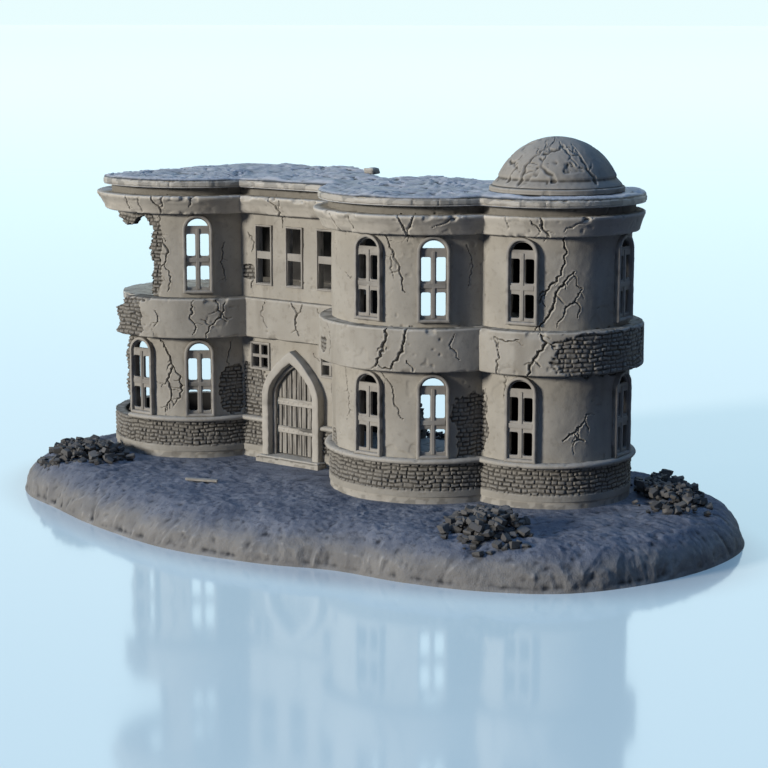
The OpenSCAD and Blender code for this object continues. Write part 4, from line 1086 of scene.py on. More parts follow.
# ---------------------------------------------------------------- layers drawn in plan
def plan_sheet(distance, x_range, y_range, res, top, bottom, side_shift, steps=6, side_paint=None):
    """A flat layer over the plan region where distance is negative, with a true outline."""
    xs = np.arange(x_range[0], x_range[1] + res, res)
    ys = np.arange(y_range[0], y_range[1] + res, res)
    X, Y = np.meshgrid(xs, ys, indexing="ij")
    keep = distance((X[:-1, :-1] + X[1:, 1:]) / 2, (Y[:-1, :-1] + Y[1:, 1:]) / 2) < 0
    n = np.zeros(X.shape)
    for a, b in ((slice(0, -1), slice(0, -1)), (slice(1, None), slice(0, -1)),
                 (slice(0, -1), slice(1, None)), (slice(1, None), slice(1, None))):
        n[a, b] += keep
    rim = (n > 0) & (n < 4)
    e = 0.05
    grad = np.zeros(X.shape + (2,))
    for _ in range(2):
        x, y = X[rim], Y[rim]
        d = distance(x, y)
        gx = (distance(x + e, y) - distance(x - e, y)) / (2 * e)
        gy = (distance(x, y + e) - distance(x, y - e)) / (2 * e)
        g = np.maximum(np.hypot(gx, gy), 0.5)
        step = np.clip(d, -res, res)
        X[rim] -= step * gx / g ** 2
        Y[rim] -= step * gy / g ** 2
    grad[rim] = np.stack([gx / g, gy / g], -1)
    zt, mask, rnd = top(X, Y)
    paint = paint_from(zt, mask, rnd)
    outer = np.stack([X, Y, zt], -1)
    inner = np.stack([X, Y, np.broadcast_to(bottom, X.shape)], -1)
    flat = grad.reshape(-1, 2)

    def side_move(p, ids, t):
        g = flat[ids]
        shift = side_shift(p, t)
        return p + np.stack([g[:, 0] * shift, g[:, 1] * shift, 0.1 * noise(p, 1.5, 9)], 1)

    return shell(outer, inner, keep, paint, paint * (0, 1, 1, 0), False, steps, 0.1, side_paint, side_move)


def make_roof():
    def distance(x, y):
        P = in_plan(x, y)
        torn_edge = to_polygon(ROOF_KEPT, x, y) + 1.1 * fractal(P, 5, 3, 71) * (y > 20)
        hole = SPIGOT_HOLE_R - np.hypot(x - DOME[0], y - DOME[1])
        return np.maximum.reduce([to_plan(x, y, SLAB_OUT), torn_edge, hole])

    rng = np.random.default_rng(33)
    cracks = []
    for _ in range(26):
        start = rng.uniform(-118, 100), rng.uniform(-25, 60)
        cracks += crack(rng, start, rng.uniform(0, 360), rng.uniform(18, 44), 0.95, 0.9, twigs=0.45, step=2.6)

    def top(X, Y):
        P = in_plan(X, Y)
        warped = P + 3.0 * swirl(P, 9, 72)
        layers = fractal(warped * (1, 1.3, 1), 17, 4, 74, 0.6) * 5.5
        steps = np.floor(layers) + smoothstep(0.0, 0.28, layers - np.floor(layers))
        h = 0.34 * steps + 0.30 * fractal(P, 3.0, 3, 75)
        h -= 0.7 * smoothstep(0.20, 0.42, fractal(warped, 5, 3, 70))
        h -= crack_field(np.stack([X, Y], -1) + 0.5 * noise(P, 2, 77)[..., None], cracks)
        ring = smoothstep(31, 27, np.hypot(X - DOME[0], Y - DOME[1]))
        edge = np.clip(-to_plan(X, Y, SLAB_OUT), 0, 9)
        h = h * (1 - 0.7 * ring) * smoothstep(0, 2.5, edge) - rounded(edge, 0.8)
        return SLAB_TOP - 0.2 + np.clip(h, -1.3, 1.1), np.zeros(X.shape), 0.5 + 0.5 * noise(P, 5, 78)

    def side_shift(p, t):
        flat = p * (1, 1, 0)
        block = np.round(2.2 * noise(flat, 11, 79)) / 2.2
        joint = smoothstep(0.06, 0.0, np.abs(noise(flat, 9, 80)))
        chip = smoothstep(0.25, 0.5, fractal(p, 6, 3, 81)) * abs(t - 0.5) * 2.2
        edge = rounded(min(t, 1 - t) * 3.9 + 0.01, 0.8)
        return (0.22 * block + 0.22 * fractal(p, 4, 3, 82) - 0.35 * joint - 0.6 * chip - edge
                + 0.3 * (abs(t - 0.5) < 0.3))

    v = plan_sheet(distance, (-136, 112), (-40, 72), 0.72, top, SLAB_Z, side_shift, 8, (0.0, 1.0, 0.3, 0.1))
    place(build("roof_slate_slab", *v), SLATE, "roof", "roof_slate", "roof_slab")

    heap = Heap()
    for part in PARTS:
        v = course(part, "plaster", "whole", RECESS_Z, SLAB_Z, constant(1.2), chips=0.3,
                   res=0.55, plan=ROOF_KEPT)
        heap.add(*v)
    place(heap.build("recessed_band"), WALL, "roof", "weathered_wall", "recessed_course")


def make_foundation():
    def top(X, Y):
        P = in_plan(X, Y)
        h, rnd = bricks(P, X, Y, -40, 91, 8.5, 7.5, 14)
        edge = np.clip(-to_plan(X, Y, FOUNDATION_OUT), 0, 9)
        h = (0.45 * h - 0.5) * smoothstep(3.5, 6, edge)
        return PLINTH_Z + h, np.ones(X.shape), rnd

    def side_shift(p, t):
        return (0.14 * fractal(p, 5, 3, 92) - 0.3 * smoothstep(0.3, 0.5, noise(p, 4, 93))
                - rounded(t * 2.7 + 0.05, 0.5))

    v = plan_sheet(lambda x, y: to_plan(x, y, FOUNDATION_OUT), (-132, 108), (-36, 68), 1.2, top,
                   GROUND_Z - 0.6,
                   side_shift, 5, (0.0, 0.0, 0.3, 0.1))
    place(build("foundation_slab", *v), TRIM, "base", "trim_stone", "foundation")


def make_floors():
    def flags(X, Y):
        P = in_plan(X, Y)
        h, rnd = bricks(P, X, Y, -40, 95, 7.5, 6.5, 12)
        return FLOOR_Z + FLOOR_T + 0.45 * h - 0.45, np.ones(X.shape), rnd

    def distance(x, y):
        P = in_plan(x, y)
        room = np.maximum.reduce([LEFT_X + WALL_T - x, x + 20, FRONT_Y + WALL_T - y, y - BACK_Y + WALL_T])
        bay = np.hypot(x - LEFT[0], y - LEFT[1]) - LEFT[2] + WALL_T
        return np.maximum(np.minimum(room, bay),
                          to_polygon(UPPER_FLOOR_KEPT, x, y) + 1.2 * fractal(P, 5, 3, 96))

    v = plan_sheet(distance, (-128, -24), (-24, 62), 0.9, flags, FLOOR_Z, lambda p,
                   t: 0.5 * noise(p, 2.2, 97), 5,
                   (0.1, 1.0, 0.6, 0.0))
    place(build("upper_floor_flags", *v), SLATE, "upper_storey", "roof_slate", "upper_floor")
    v = plan_sheet(lambda x, y: np.hypot(x - TOWER[0], y - TOWER[1]) - TOWER[2] + WALL_T + 0.02, (44, 106),
                   (-10, 52),
                   1.0, flags, FLOOR_Z, lambda p, t: p[:, 0] * 0, 3)
    place(build("tower_floor_flags", *v), SLATE, "upper_storey", "roof_slate", "tower_floor")


# ---------------------------------------------------------------- terrain
def catmull(points, steps):
    pts = np.asarray(points, float)
    n, out = len(pts), []
    for i in range(n):
        a, b, c, d = (pts[(i + k) % n] for k in (-1, 0, 1, 2))
        for s in range(steps):
            t = s / steps
            out.append(b + 0.5 * t * (c - a + t * (2 * a - 5 * b + 4 * c - d + t * (3 * (b - c) + d - a))))
    return np.array(out)


RIM_IN = [0, 0.5, 1.8, 4.6, 9.0, 14.5, 20.0]
RIM_Z = [0, 2.6, 6.2, 9.8, 12.6, 14.5, GROUND_Z]


def terrain_relief(P):
    Q = P * (1, 1, 0) + 5.0 * swirl(P, 22, 111)
    h = 1.0 * fractal(Q, 26, 3, 113) + 0.75 * ridges(Q + 3.0 * swirl(P, 8, 116), 10, 4, 114)
    return h + 0.42 * fractal(P * (1, 1, 0), 2.2, 2, 118) - 0.35


def make_terrain():
    loop = catmull(BASE_OUTLINE, 60)
    closed = np.concatenate([loop, loop[:1]])
    length = np.concatenate([[0], np.cumsum(np.linalg.norm(np.diff(closed, axis=0), axis=1))])
    weight = np.interp(closed[:, 1], [-20, 30], [1.0, 0.42])
    cum = np.concatenate([[0], np.cumsum(np.diff(length) * (weight[1:] + weight[:-1]) / 2)])
    pick = np.interp(np.linspace(0, cum[-1], 1101)[:-1], cum, length)
    ring = np.stack([np.interp(pick, length, closed[:, k]) for k in (0, 1)], 1)
    R = np.linalg.norm(ring, axis=1)
    U = ring / R[:, None]
    along = np.concatenate([[0], np.cumsum(np.hypot(np.diff(RIM_IN), np.diff(RIM_Z)))])
    t = np.linspace(0, along[-1], 44)
    rd, rz = np.interp(t, along, RIM_IN), np.interp(t, along, RIM_Z)
    for _ in range(2):
        rd[1:-1] = (rd[:-2] + rd[1:-1] + rd[2:]) / 3
        rz[1:-1] = (rz[:-2] + rz[1:-1] + rz[2:]) / 3
    f = np.concatenate([np.linspace(1, 0.38, 91)[1:], np.linspace(0.38, 0.0, 10)[1:]])
    radius = np.concatenate([R[:, None] - rd[None], (R[:, None] - RIM_IN[-1]) * f[None]], 1)
    base_z = np.concatenate([rz, np.full(len(f), GROUND_Z)])
    Z = np.repeat(base_z[None], len(R), 0)
    X, Y = U[:, :1] * radius, U[:, 1:] * radius
    P = np.stack([X, Y, Z], -1)
    inward = R[:, None] - radius
    steep = smoothstep(15, 3, inward) * smoothstep(0.0, 2.0, Z)
    lean = P + 4.0 * swirl(P, 15, 126)
    flute = ridges(lean * (1, 1, 0.35), 8, 3, 121)
    push = steep * (1.1 * flute + 0.5 * fractal(lean * (1, 1, 0.6), 3.2, 3, 122) - 0.7)
    level = smoothstep(1.5, 11, inward)
    relief = terrain_relief(P)
    calm = smoothstep(0.5, 5.0, to_plan(X, Y, FOUNDATION_OUT))
    ledge = smoothstep(0.0, 3.0, np.maximum(np.abs(X - DOOR_X) - 17.0, np.abs(Y + 2) - 4))
    lift = (level * relief * (0.12 + 0.88 * calm * (0.2 + 0.8 * ledge))
            + 0.5 * (1 - level) * steep * fractal(P, 6, 3, 123))
    X, Y = X + U[:, :1] * push, Y + U[:, 1:] * push
    Z = np.maximum(Z + lift, 0)
    Z[:, 0] = 0
    detail = push + lift
    paint = paint_from(detail, smoothstep(13.2, 6.0, Z + 1.6 * noise(P, 7, 124)),
                       0.5 + 0.5 * noise(P, 6, 125), 1.5, 1.7)
    outer = np.stack([X, Y, Z], -1)
    n, m = Z.shape
    ids = np.arange(n * m).reshape(n, m)
    nxt = np.roll(ids, -1, 0)
    faces = np.stack([ids[:, :-1], nxt[:, :-1], nxt[:, 1:], ids[:, 1:]], -1).reshape(-1, 4)
    centre = n * m + np.arange(n)
    under = np.stack([nxt[:, 0], ids[:, 0], centre, np.roll(centre, -1)], -1)
    verts = np.concatenate([outer.reshape(-1, 3), np.zeros((n, 3))])
    paint = np.concatenate([paint.reshape(-1, 4), np.zeros((n, 4))])
    obj = build("rocky_ground", verts, np.concatenate([faces, under]), paint, 70)
    place(obj, ROCK, "base", "rock_ground", "terrain_base")


# ---------------------------------------------------------------- small solids
def block_grid(n=4):
    """The surface of a cube from -1 to 1 as quads, with n cells along each edge."""
    index, verts, faces = {}, [], []

    def vert(key):
        if key not in index:
            index[key] = len(verts)
            verts.append([2 * k / n - 1 for k in key])
        return index[key]

    for axis in range(3):
        u, v = (axis + 1) % 3, (axis + 2) % 3
        for side in (0, n):
            for i in range(n):
                for j in range(n):
                    quad = []
                    for di, dj in ((0, 0), (1, 0), (1, 1), (0, 1)):
                        key = [0, 0, 0]
                        key[axis], key[u], key[v] = side, i + di, j + dj
                        quad.append(vert(tuple(key)))
                    faces.append(quad if side else quad[::-1])
    return np.array(verts, float), np.array(faces)


BLOCK = block_grid(4)


def stone_verts(size, seed, power=11.0, bumpy=0.10):
    """A worn block of the given half sizes about the origin."""
    v = BLOCK[0]
    v = v / (np.sum(np.abs(v) ** power, 1) ** (1 / power))[:, None]
    rng = np.random.default_rng(seed)
    skew = np.eye(3) + rng.uniform(-0.14, 0.14, (3, 3))
    v = (v @ skew) * size
    return v + bumpy * np.stack([noise(v + 50 * seed, 1.5, 3), noise(v, 1.5, seed + 4),
                                 noise(v, 1.5, seed + 5)], 1)


def turned(v, yaw, pitch, roll):
    cy, sy, cp, sp, cr, sr = (f(a) for a in (yaw, pitch, roll) for f in (math.cos, math.sin))
    z = np.array([[cy, -sy, 0], [sy, cy, 0], [0, 0, 1]])
    y = np.array([[cp, 0, sp], [0, 1, 0], [-sp, 0, cp]])
    x = np.array([[1, 0, 0], [0, cr, -sr], [0, sr, cr]])
    return v @ (z @ y @ x).T


def make_rubble(name, node, centre, turn, size, tallest, count, seed, biggest=1.9):
    """Stones dropped one by one into a heap, each resting on those below it."""
    rng = np.random.default_rng(seed)
    cell = 0.8
    nx, ny = int(size[0] / cell) + 8, int(size[1] / cell) + 8
    height = np.zeros((nx, ny))
    heap = Heap()
    a = math.radians(turn)
    outline = catmull(BASE_OUTLINE, 8)
    for k in range(count):
        spread = 1.0 if k < count * 0.45 else 0.62
        u, v = np.clip(rng.normal(0, 0.5, 2), -1, 1) * spread
        half = np.array([rng.uniform(0.55, 1), rng.uniform(0.45, 0.8), rng.uniform(0.3, 0.6)])
        half *= biggest * (rng.uniform(0.45, 1.0) if rng.random() < 0.7 else rng.uniform(0.2, 0.45))
        gx, gy = int((u + 1) / 2 * size[0] / cell) + 4, int((v + 1) / 2 * size[1] / cell) + 4
        w = max(1, int(half[0] / cell))
        window = height[max(0, gx - w):gx + w + 1, max(0, gy - w):gy + w + 1]
        ground = 0.55 * window.max() + 0.45 * window.mean()
        if ground + 2 * half[2] > tallest * 1.25:
            continue
        body = turned(stone_verts(half, seed * 997 + k), rng.uniform(0, 2 * math.pi),
                      rng.uniform(-0.45, 0.45), rng.uniform(-0.45, 0.45))
        body[:, 2] += ground + half[2] * 0.75
        x, y = u * size[0] / 2, v * size[1] / 2
        x, y = x * math.cos(a) - y * math.sin(a) + centre[0], x * math.sin(a) + y * math.cos(a) + centre[1]
        inward = -float(to_polygon(outline, x, y))
        if inward < 6 or to_plan(x, y, 3) < 0:
            continue
        floor = float(np.interp(inward, RIM_IN, RIM_Z)) + 0.1
        body += (x, y, floor)
        height[max(0, gx - w):gx + w + 1, max(0, gy - w):gy + w + 1] = np.maximum(window,
                                                                                  ground + 1.5 * half[2])
        paint = np.zeros((len(body), 4))
        paint[:, 1], paint[:, 2] = rng.random() * 0.9, rng.random()
        # Painted shade: each stone is darker at its foot, where it rests on the ground.
        paint[:, 0] = 0.5 * (body[:, 2] < floor + 0.6)
        heap.add(body, BLOCK[1], paint)
    place(heap.build(name, 60), RUBBLE, "base", "rubble_stone", node)


def plank_verts(length, width, thick, seed):
    """A worn board with its length along X, from the origin, its underside at zero."""
    v, f = block_grid(8)
    v[:, 0] = np.sign(v[:, 0]) * np.abs(v[:, 0]) ** 0.9
    r = 0.12
    half = np.array([length, width, thick]) / 2
    p = v * half
    corner = np.clip(np.abs(p) - (half - r), 0, r)
    p = p - np.sign(p) * 0.35 * corner
    p[:, 1] += 0.12 * noise(p * (0.3, 0, 0) + seed, 1.2, seed)
    p[:, 2] += 0.06 * noise(p * (0.25, 2.5, 0), 1.0, seed + 1)
    ends = np.abs(v[:, 0]) > 0.9
    p[:, 0] += ends * 0.5 * noise(p * (0, 2, 0.5), 0.9, seed + 2)
    return p + half, f


def make_planks():
    for name, node, start, slope, turn, size in (
            ("plank_resting", "plank_leaning", (-123, -17.5, GROUND_Z + 0.7), 4, -36, (20, 2.2, 0.9)),
            ("plank_dropped", "plank_lying", (-46, -51, GROUND_Z + 0.3), 0, 20, (13, 2.0, 0.9))):
        v, f = plank_verts(*size, 7)
        v = turned(v, math.radians(turn), math.radians(-slope), 0) + np.array(start)
        tone = np.zeros((len(v), 4))
        tone[:, 2] = 0.6
        place(build(name, v, f, tone, 40), BOARD, "base", "painted_timber", node)


# ---------------------------------------------------------------- windows
def on_face(bay, angle, foot):
    """A map from window drawing (x, z, depth) to the row frame, on a bay's face."""
    a = math.radians(angle)
    n, t = np.array([math.cos(a), math.sin(a)]), np.array([-math.sin(a), math.cos(a)])
    c = np.array(bay[:2])

    def put(x, z, y):
        xy = c + np.multiply.outer(bay[2] - y, n) + np.multiply.outer(x, t)
        return np.stack([xy[..., 0], xy[..., 1], z + foot], -1)
    return put


def on_wall(x0, foot):
    def put(x, z, y):
        return np.stack([x + x0, y + FRONT_Y, z + foot], -1)
    return put


def arch_line(w, h, foot, n=(34, 26, 12)):
    """A round-headed outline, clockwise from its lower left corner, closed along the foot."""
    side, head, base = n
    spring = h - w / 2
    zs = np.linspace(0, 1, side, endpoint=False)
    left = np.stack([np.full(side, -w / 2), foot + zs * (spring - foot)], 1)
    a = np.linspace(math.pi, 0, head)
    top = np.stack([w / 2 * np.cos(a), spring + w / 2 * np.sin(a)], 1)
    right = np.stack([np.full(side, w / 2), spring - zs * (spring - foot)], 1)[1:]
    xs = np.linspace(0, 1, base)
    floor = np.stack([w / 2 - xs * w, np.full(base, foot)], 1)[:-1]
    return np.concatenate([left, top, right, floor])


def rect_line(w, z0, z1, n=(10, 20)):
    xs, zs = np.linspace(0, 1, n[0], endpoint=False), np.linspace(0, 1, n[1], endpoint=False)
    return np.concatenate([
        np.stack([np.full(n[1], -w / 2), z0 + zs * (z1 - z0)],
                 1), np.stack([-w / 2 + xs * w, np.full(n[0], z1)], 1),
        np.stack([np.full(n[1], w / 2), z1 - zs * (z1 - z0)],
                 1), np.stack([w / 2 - xs * w, np.full(n[0], z0)], 1)])


def ruled(A, B, section, put, closed=True, worn=0.06, seed=5, wear_size=1.6):
    """A moulded strip between two outlines; section is (share from A to B, depth), closed."""
    u = np.array([p[0] for p in section])
    y = np.array([p[1] for p in section])
    XZ = A[:, None, :] * (1 - u)[None, :, None] + B[:, None, :] * u[None, :, None]
    Yd = np.repeat(y[None], len(A), 0)
    V = put(XZ[..., 0], XZ[..., 1], Yd)
    if not closed:
        V = np.concatenate([V[:1] * 0 + V[0].mean(0), V, V[-1:] * 0 + V[-1].mean(0)])
    n, m = V.shape[:2]
    flat = V.reshape(-1, 3)
    shift = worn * jitter(flat, wear_size, range(seed, seed + 3))
    ids = np.arange(n * m).reshape(n, m)
    nj = np.roll(ids, -1, 1)
    if closed:
        ni, nij = np.roll(ids, -1, 0), np.roll(nj, -1, 0)
        faces = np.stack([ids, ni, nij, nj], -1)
    else:
        faces = np.stack([ids[:-1], ids[1:], nj[1:], nj[:-1]], -1)
    depth = np.broadcast_to(y[None], (n, m)).ravel()
    paint = np.zeros((len(flat), 4))
    # Dark wash with painted shade where the moulding meets the wall and in its reveal.
    paint[:, 0] = np.clip(0.45 * noise(flat, 3.0, seed + 6) + 0.25 * (depth > -0.4), 0, 1)
    paint[:, 3] = 0.35 * (depth <= depth.min() + 0.15)
    return flat + shift, faces.reshape(-1, 4), paint


def split(faces):
    faces = np.asarray(faces)
    return faces if faces.shape[1] == 3 else np.concatenate([faces[:, [0, 1, 2]], faces[:, [0, 2, 3]]])


def soft_rect(x0, x1, z0, z1, r=0.45, n=4):
    pts = []
    for cx, cz, a0 in ((x1 - r, z1 - r, 0), (x0 + r, z1 - r, 90), (x0 + r, z0 + r, 180),
                       (x1 - r, z0 + r, 270)):
        for k in range(n + 1):
            a = math.radians(a0 + 90 * k / n)
            pts.append((cx + r * math.cos(a), cz + r * math.sin(a)))
    return np.array(pts)


def plate(outline, cuts, front, back, bevel, put):
    """A flat board with holes and rounded edges, between two depths."""
    curve = bpy.data.curves.new("board", "CURVE")
    curve.dimensions, curve.fill_mode = "2D", "BOTH"
    curve.extrude, curve.bevel_depth = (back - front) / 2 - bevel, bevel
    curve.bevel_resolution, curve.offset = 1, -bevel
    for poly in [outline] + list(cuts):
        sp = curve.splines.new("POLY")
        sp.points.add(len(poly) - 1)
        for pt, (x, z) in zip(sp.points, poly):
            pt.co = (x, z, 0, 1)
        sp.use_cyclic_u = True
    obj = bpy.data.objects.new("board", curve)
    bpy.context.scene.collection.objects.link(obj)
    dg = bpy.context.evaluated_depsgraph_get()
    me = obj.evaluated_get(dg).to_mesh()
    me.calc_loop_triangles()
    co = np.empty(len(me.vertices) * 3)
    me.vertices.foreach_get("co", co)
    tri = np.empty(len(me.loop_triangles) * 3, np.int32)
    me.loop_triangles.foreach_get("vertices", tri)
    obj.evaluated_get(dg).to_mesh_clear()
    bpy.data.objects.remove(obj)
    bpy.data.curves.remove(curve)
    co = co.reshape(-1, 3)
    v = put(co[:, 0], co[:, 1], (front + back) / 2 - co[:, 2])
    v = v + 0.04 * jitter(v, 1.4, (41, 42, 43))
    paint = np.zeros((len(v), 4))
    paint[:, 0] = np.clip(0.5 * noise(v, 2.4, 44), 0, 1)
    return v, tri.reshape(-1, 3), paint


FRAME_SECTION = [(0, 3.2), (0, 1.0), (0, -0.3), (0, -1.1), (0.08, -1.42), (0.28, -1.58), (0.55, -1.6),
                 (0.8, -1.5),
                 (0.95, -1.2), (1, -0.7), (1, 0.4), (1, 1.8), (1, 3.2)]
RECT_SECTION = [(0, 3.2), (0, 1.0), (0, -0.3), (0.1, -0.68), (0.35, -0.8), (0.75, -0.78), (0.94, -0.6),
                (1, -0.2),
                (1, 1.2), (1, 3.2)]


def make_windows():
    inner_w = WINDOW_W - 2 * WINDOW_BORDER
    head = WINDOW_H - WINDOW_W / 2
    a = np.linspace(0, math.pi, 20)
    r = inner_w / 2 - 0.4
    arch = np.stack([r * np.cos(a), head + r * np.sin(a)], 1)
    arch = arch[arch[:, 1] > LUNETTE_Z]
    lunette_cut = np.concatenate([[(arch[0][0] + 0.15, LUNETTE_Z)], arch, [(arch[-1][0] - 0.15, LUNETTE_Z)]])
    panes = [soft_rect(s * PANE_X - PANE_HALF_W, s * PANE_X + PANE_HALF_W, z0, z1, 0.7)
             for s in (-1, 1) for z0, z1 in PANE_ROWS]
    for windows, foot, level, body in ((GROUND_WINDOWS, GROUND_WALL_Z, "ground", "base"),
                                       (UPPER_WINDOWS, UPPER_WINDOW_Z, "upper", "upper_storey")):
        frames, sashes = Heap(), Heap()
        for k, (bay, angle) in enumerate(windows):
            put = on_face(bay, angle, foot)
            A = arch_line(WINDOW_W, WINDOW_H, 0)
            B = arch_line(inner_w, WINDOW_H - WINDOW_BORDER, WINDOW_BORDER)
            frames.add(*ruled(A, B, FRAME_SECTION, put, True, 0.09, 5 + k))
            sashes.add(*plate(arch_line(inner_w + 0.02, WINDOW_H - WINDOW_BORDER, WINDOW_BORDER, (2, 26, 2)),
                              panes + [lunette_cut], 0.9 - 1.4, 0.9, 0.16, put))
            for x0, x1, z0, z1 in ((-0.65, 0.65, 1.7, 26.3), (-4.6, 4.6, 12.7, 14.5)):
                sashes.add(*plate(soft_rect(x0, x1, z0, z1, 0.2), [], -0.85, 0.2, 0.18, put))
        place(frames.build("window_frames_" + level, 35), FRAMES, body, "window_frames",
              level + "_window_frames")
        place(sashes.build("window_sashes_" + level, 35), FRAMES, body, "window_frames",
              level + "_window_sashes")
    small, tall = Heap(), Heap()
    for x in SMALL_X:
        put = on_wall(x, SMALL_Z)
        v, f, p = ruled(rect_line(SMALL_W, 0, SMALL_H), rect_line(SMALL_W - 2, 1.0, SMALL_H - 1.0),
                        RECT_SECTION, put, True, 0.07)
        small.add(v, split(f), p)
        cell_w, cell_h = (SMALL_W - 3.6) / 2, (SMALL_H - 3.6) / 2
        cuts = [soft_rect(sx - cell_w / 2, sx + cell_w / 2, z, z + cell_h, 0.3)
                for sx in (-(cell_w + 1.2) / 2, (cell_w + 1.2) / 2) for z in (1.2, 2.4 + cell_h)]
        small.add(*plate(rect_line(SMALL_W - 1.98, 0.99, SMALL_H - 0.99, (2, 2)), cuts, -0.35, 1.2, 0.14,
                         put))
    for x in TALL_X:
        put = on_wall(x, TALL_Z)
        v, f, p = ruled(rect_line(TALL_W, 0, TALL_H), rect_line(TALL_W - 1.5, 0.75, TALL_H - 0.75),
                        RECT_SECTION, put, True, 0.07)
        tall.add(v, split(f), p)
        cell_h = (TALL_H - 4.6) / 2
        cuts = [soft_rect(-TALL_W / 2 + 0.85, TALL_W / 2 - 0.85, z, z + cell_h, 0.3) for z in (0.8,
                                                                                               3.8 + cell_h)]
        tall.add(*plate(rect_line(TALL_W - 1.48, 0.74, TALL_H - 0.74, (2, 2)), cuts, -0.3, 1.2, 0.12, put))
    place(small.build("window_small_pair", 35), FRAMES, "base", "window_frames", "small_windows")
    place(tall.build("window_tall_row", 35), FRAMES, "upper_storey", "window_frames", "tall_windows")


# ---------------------------------------------------------------- door
def pointed_line(w, spring, rise):
    """A pointed arch from its left foot over the point to its right foot."""
    side, head = 40, 24
    r = (rise ** 2 + (w / 2) ** 2) / w
    top = math.asin(rise / r)
    zs = np.linspace(0.0, spring, side, endpoint=False)
    left = np.stack([np.full(side, -w / 2), zs], 1)
    a = np.linspace(0, top, head)
    x = r - w / 2 - r * np.cos(a)
    arc_l = np.stack([x, pointed_top(x, w, spring, rise)], 1)
    half = np.concatenate([left, arc_l])
    return np.concatenate([half, half[::-1][1:] * (-1, 1)])


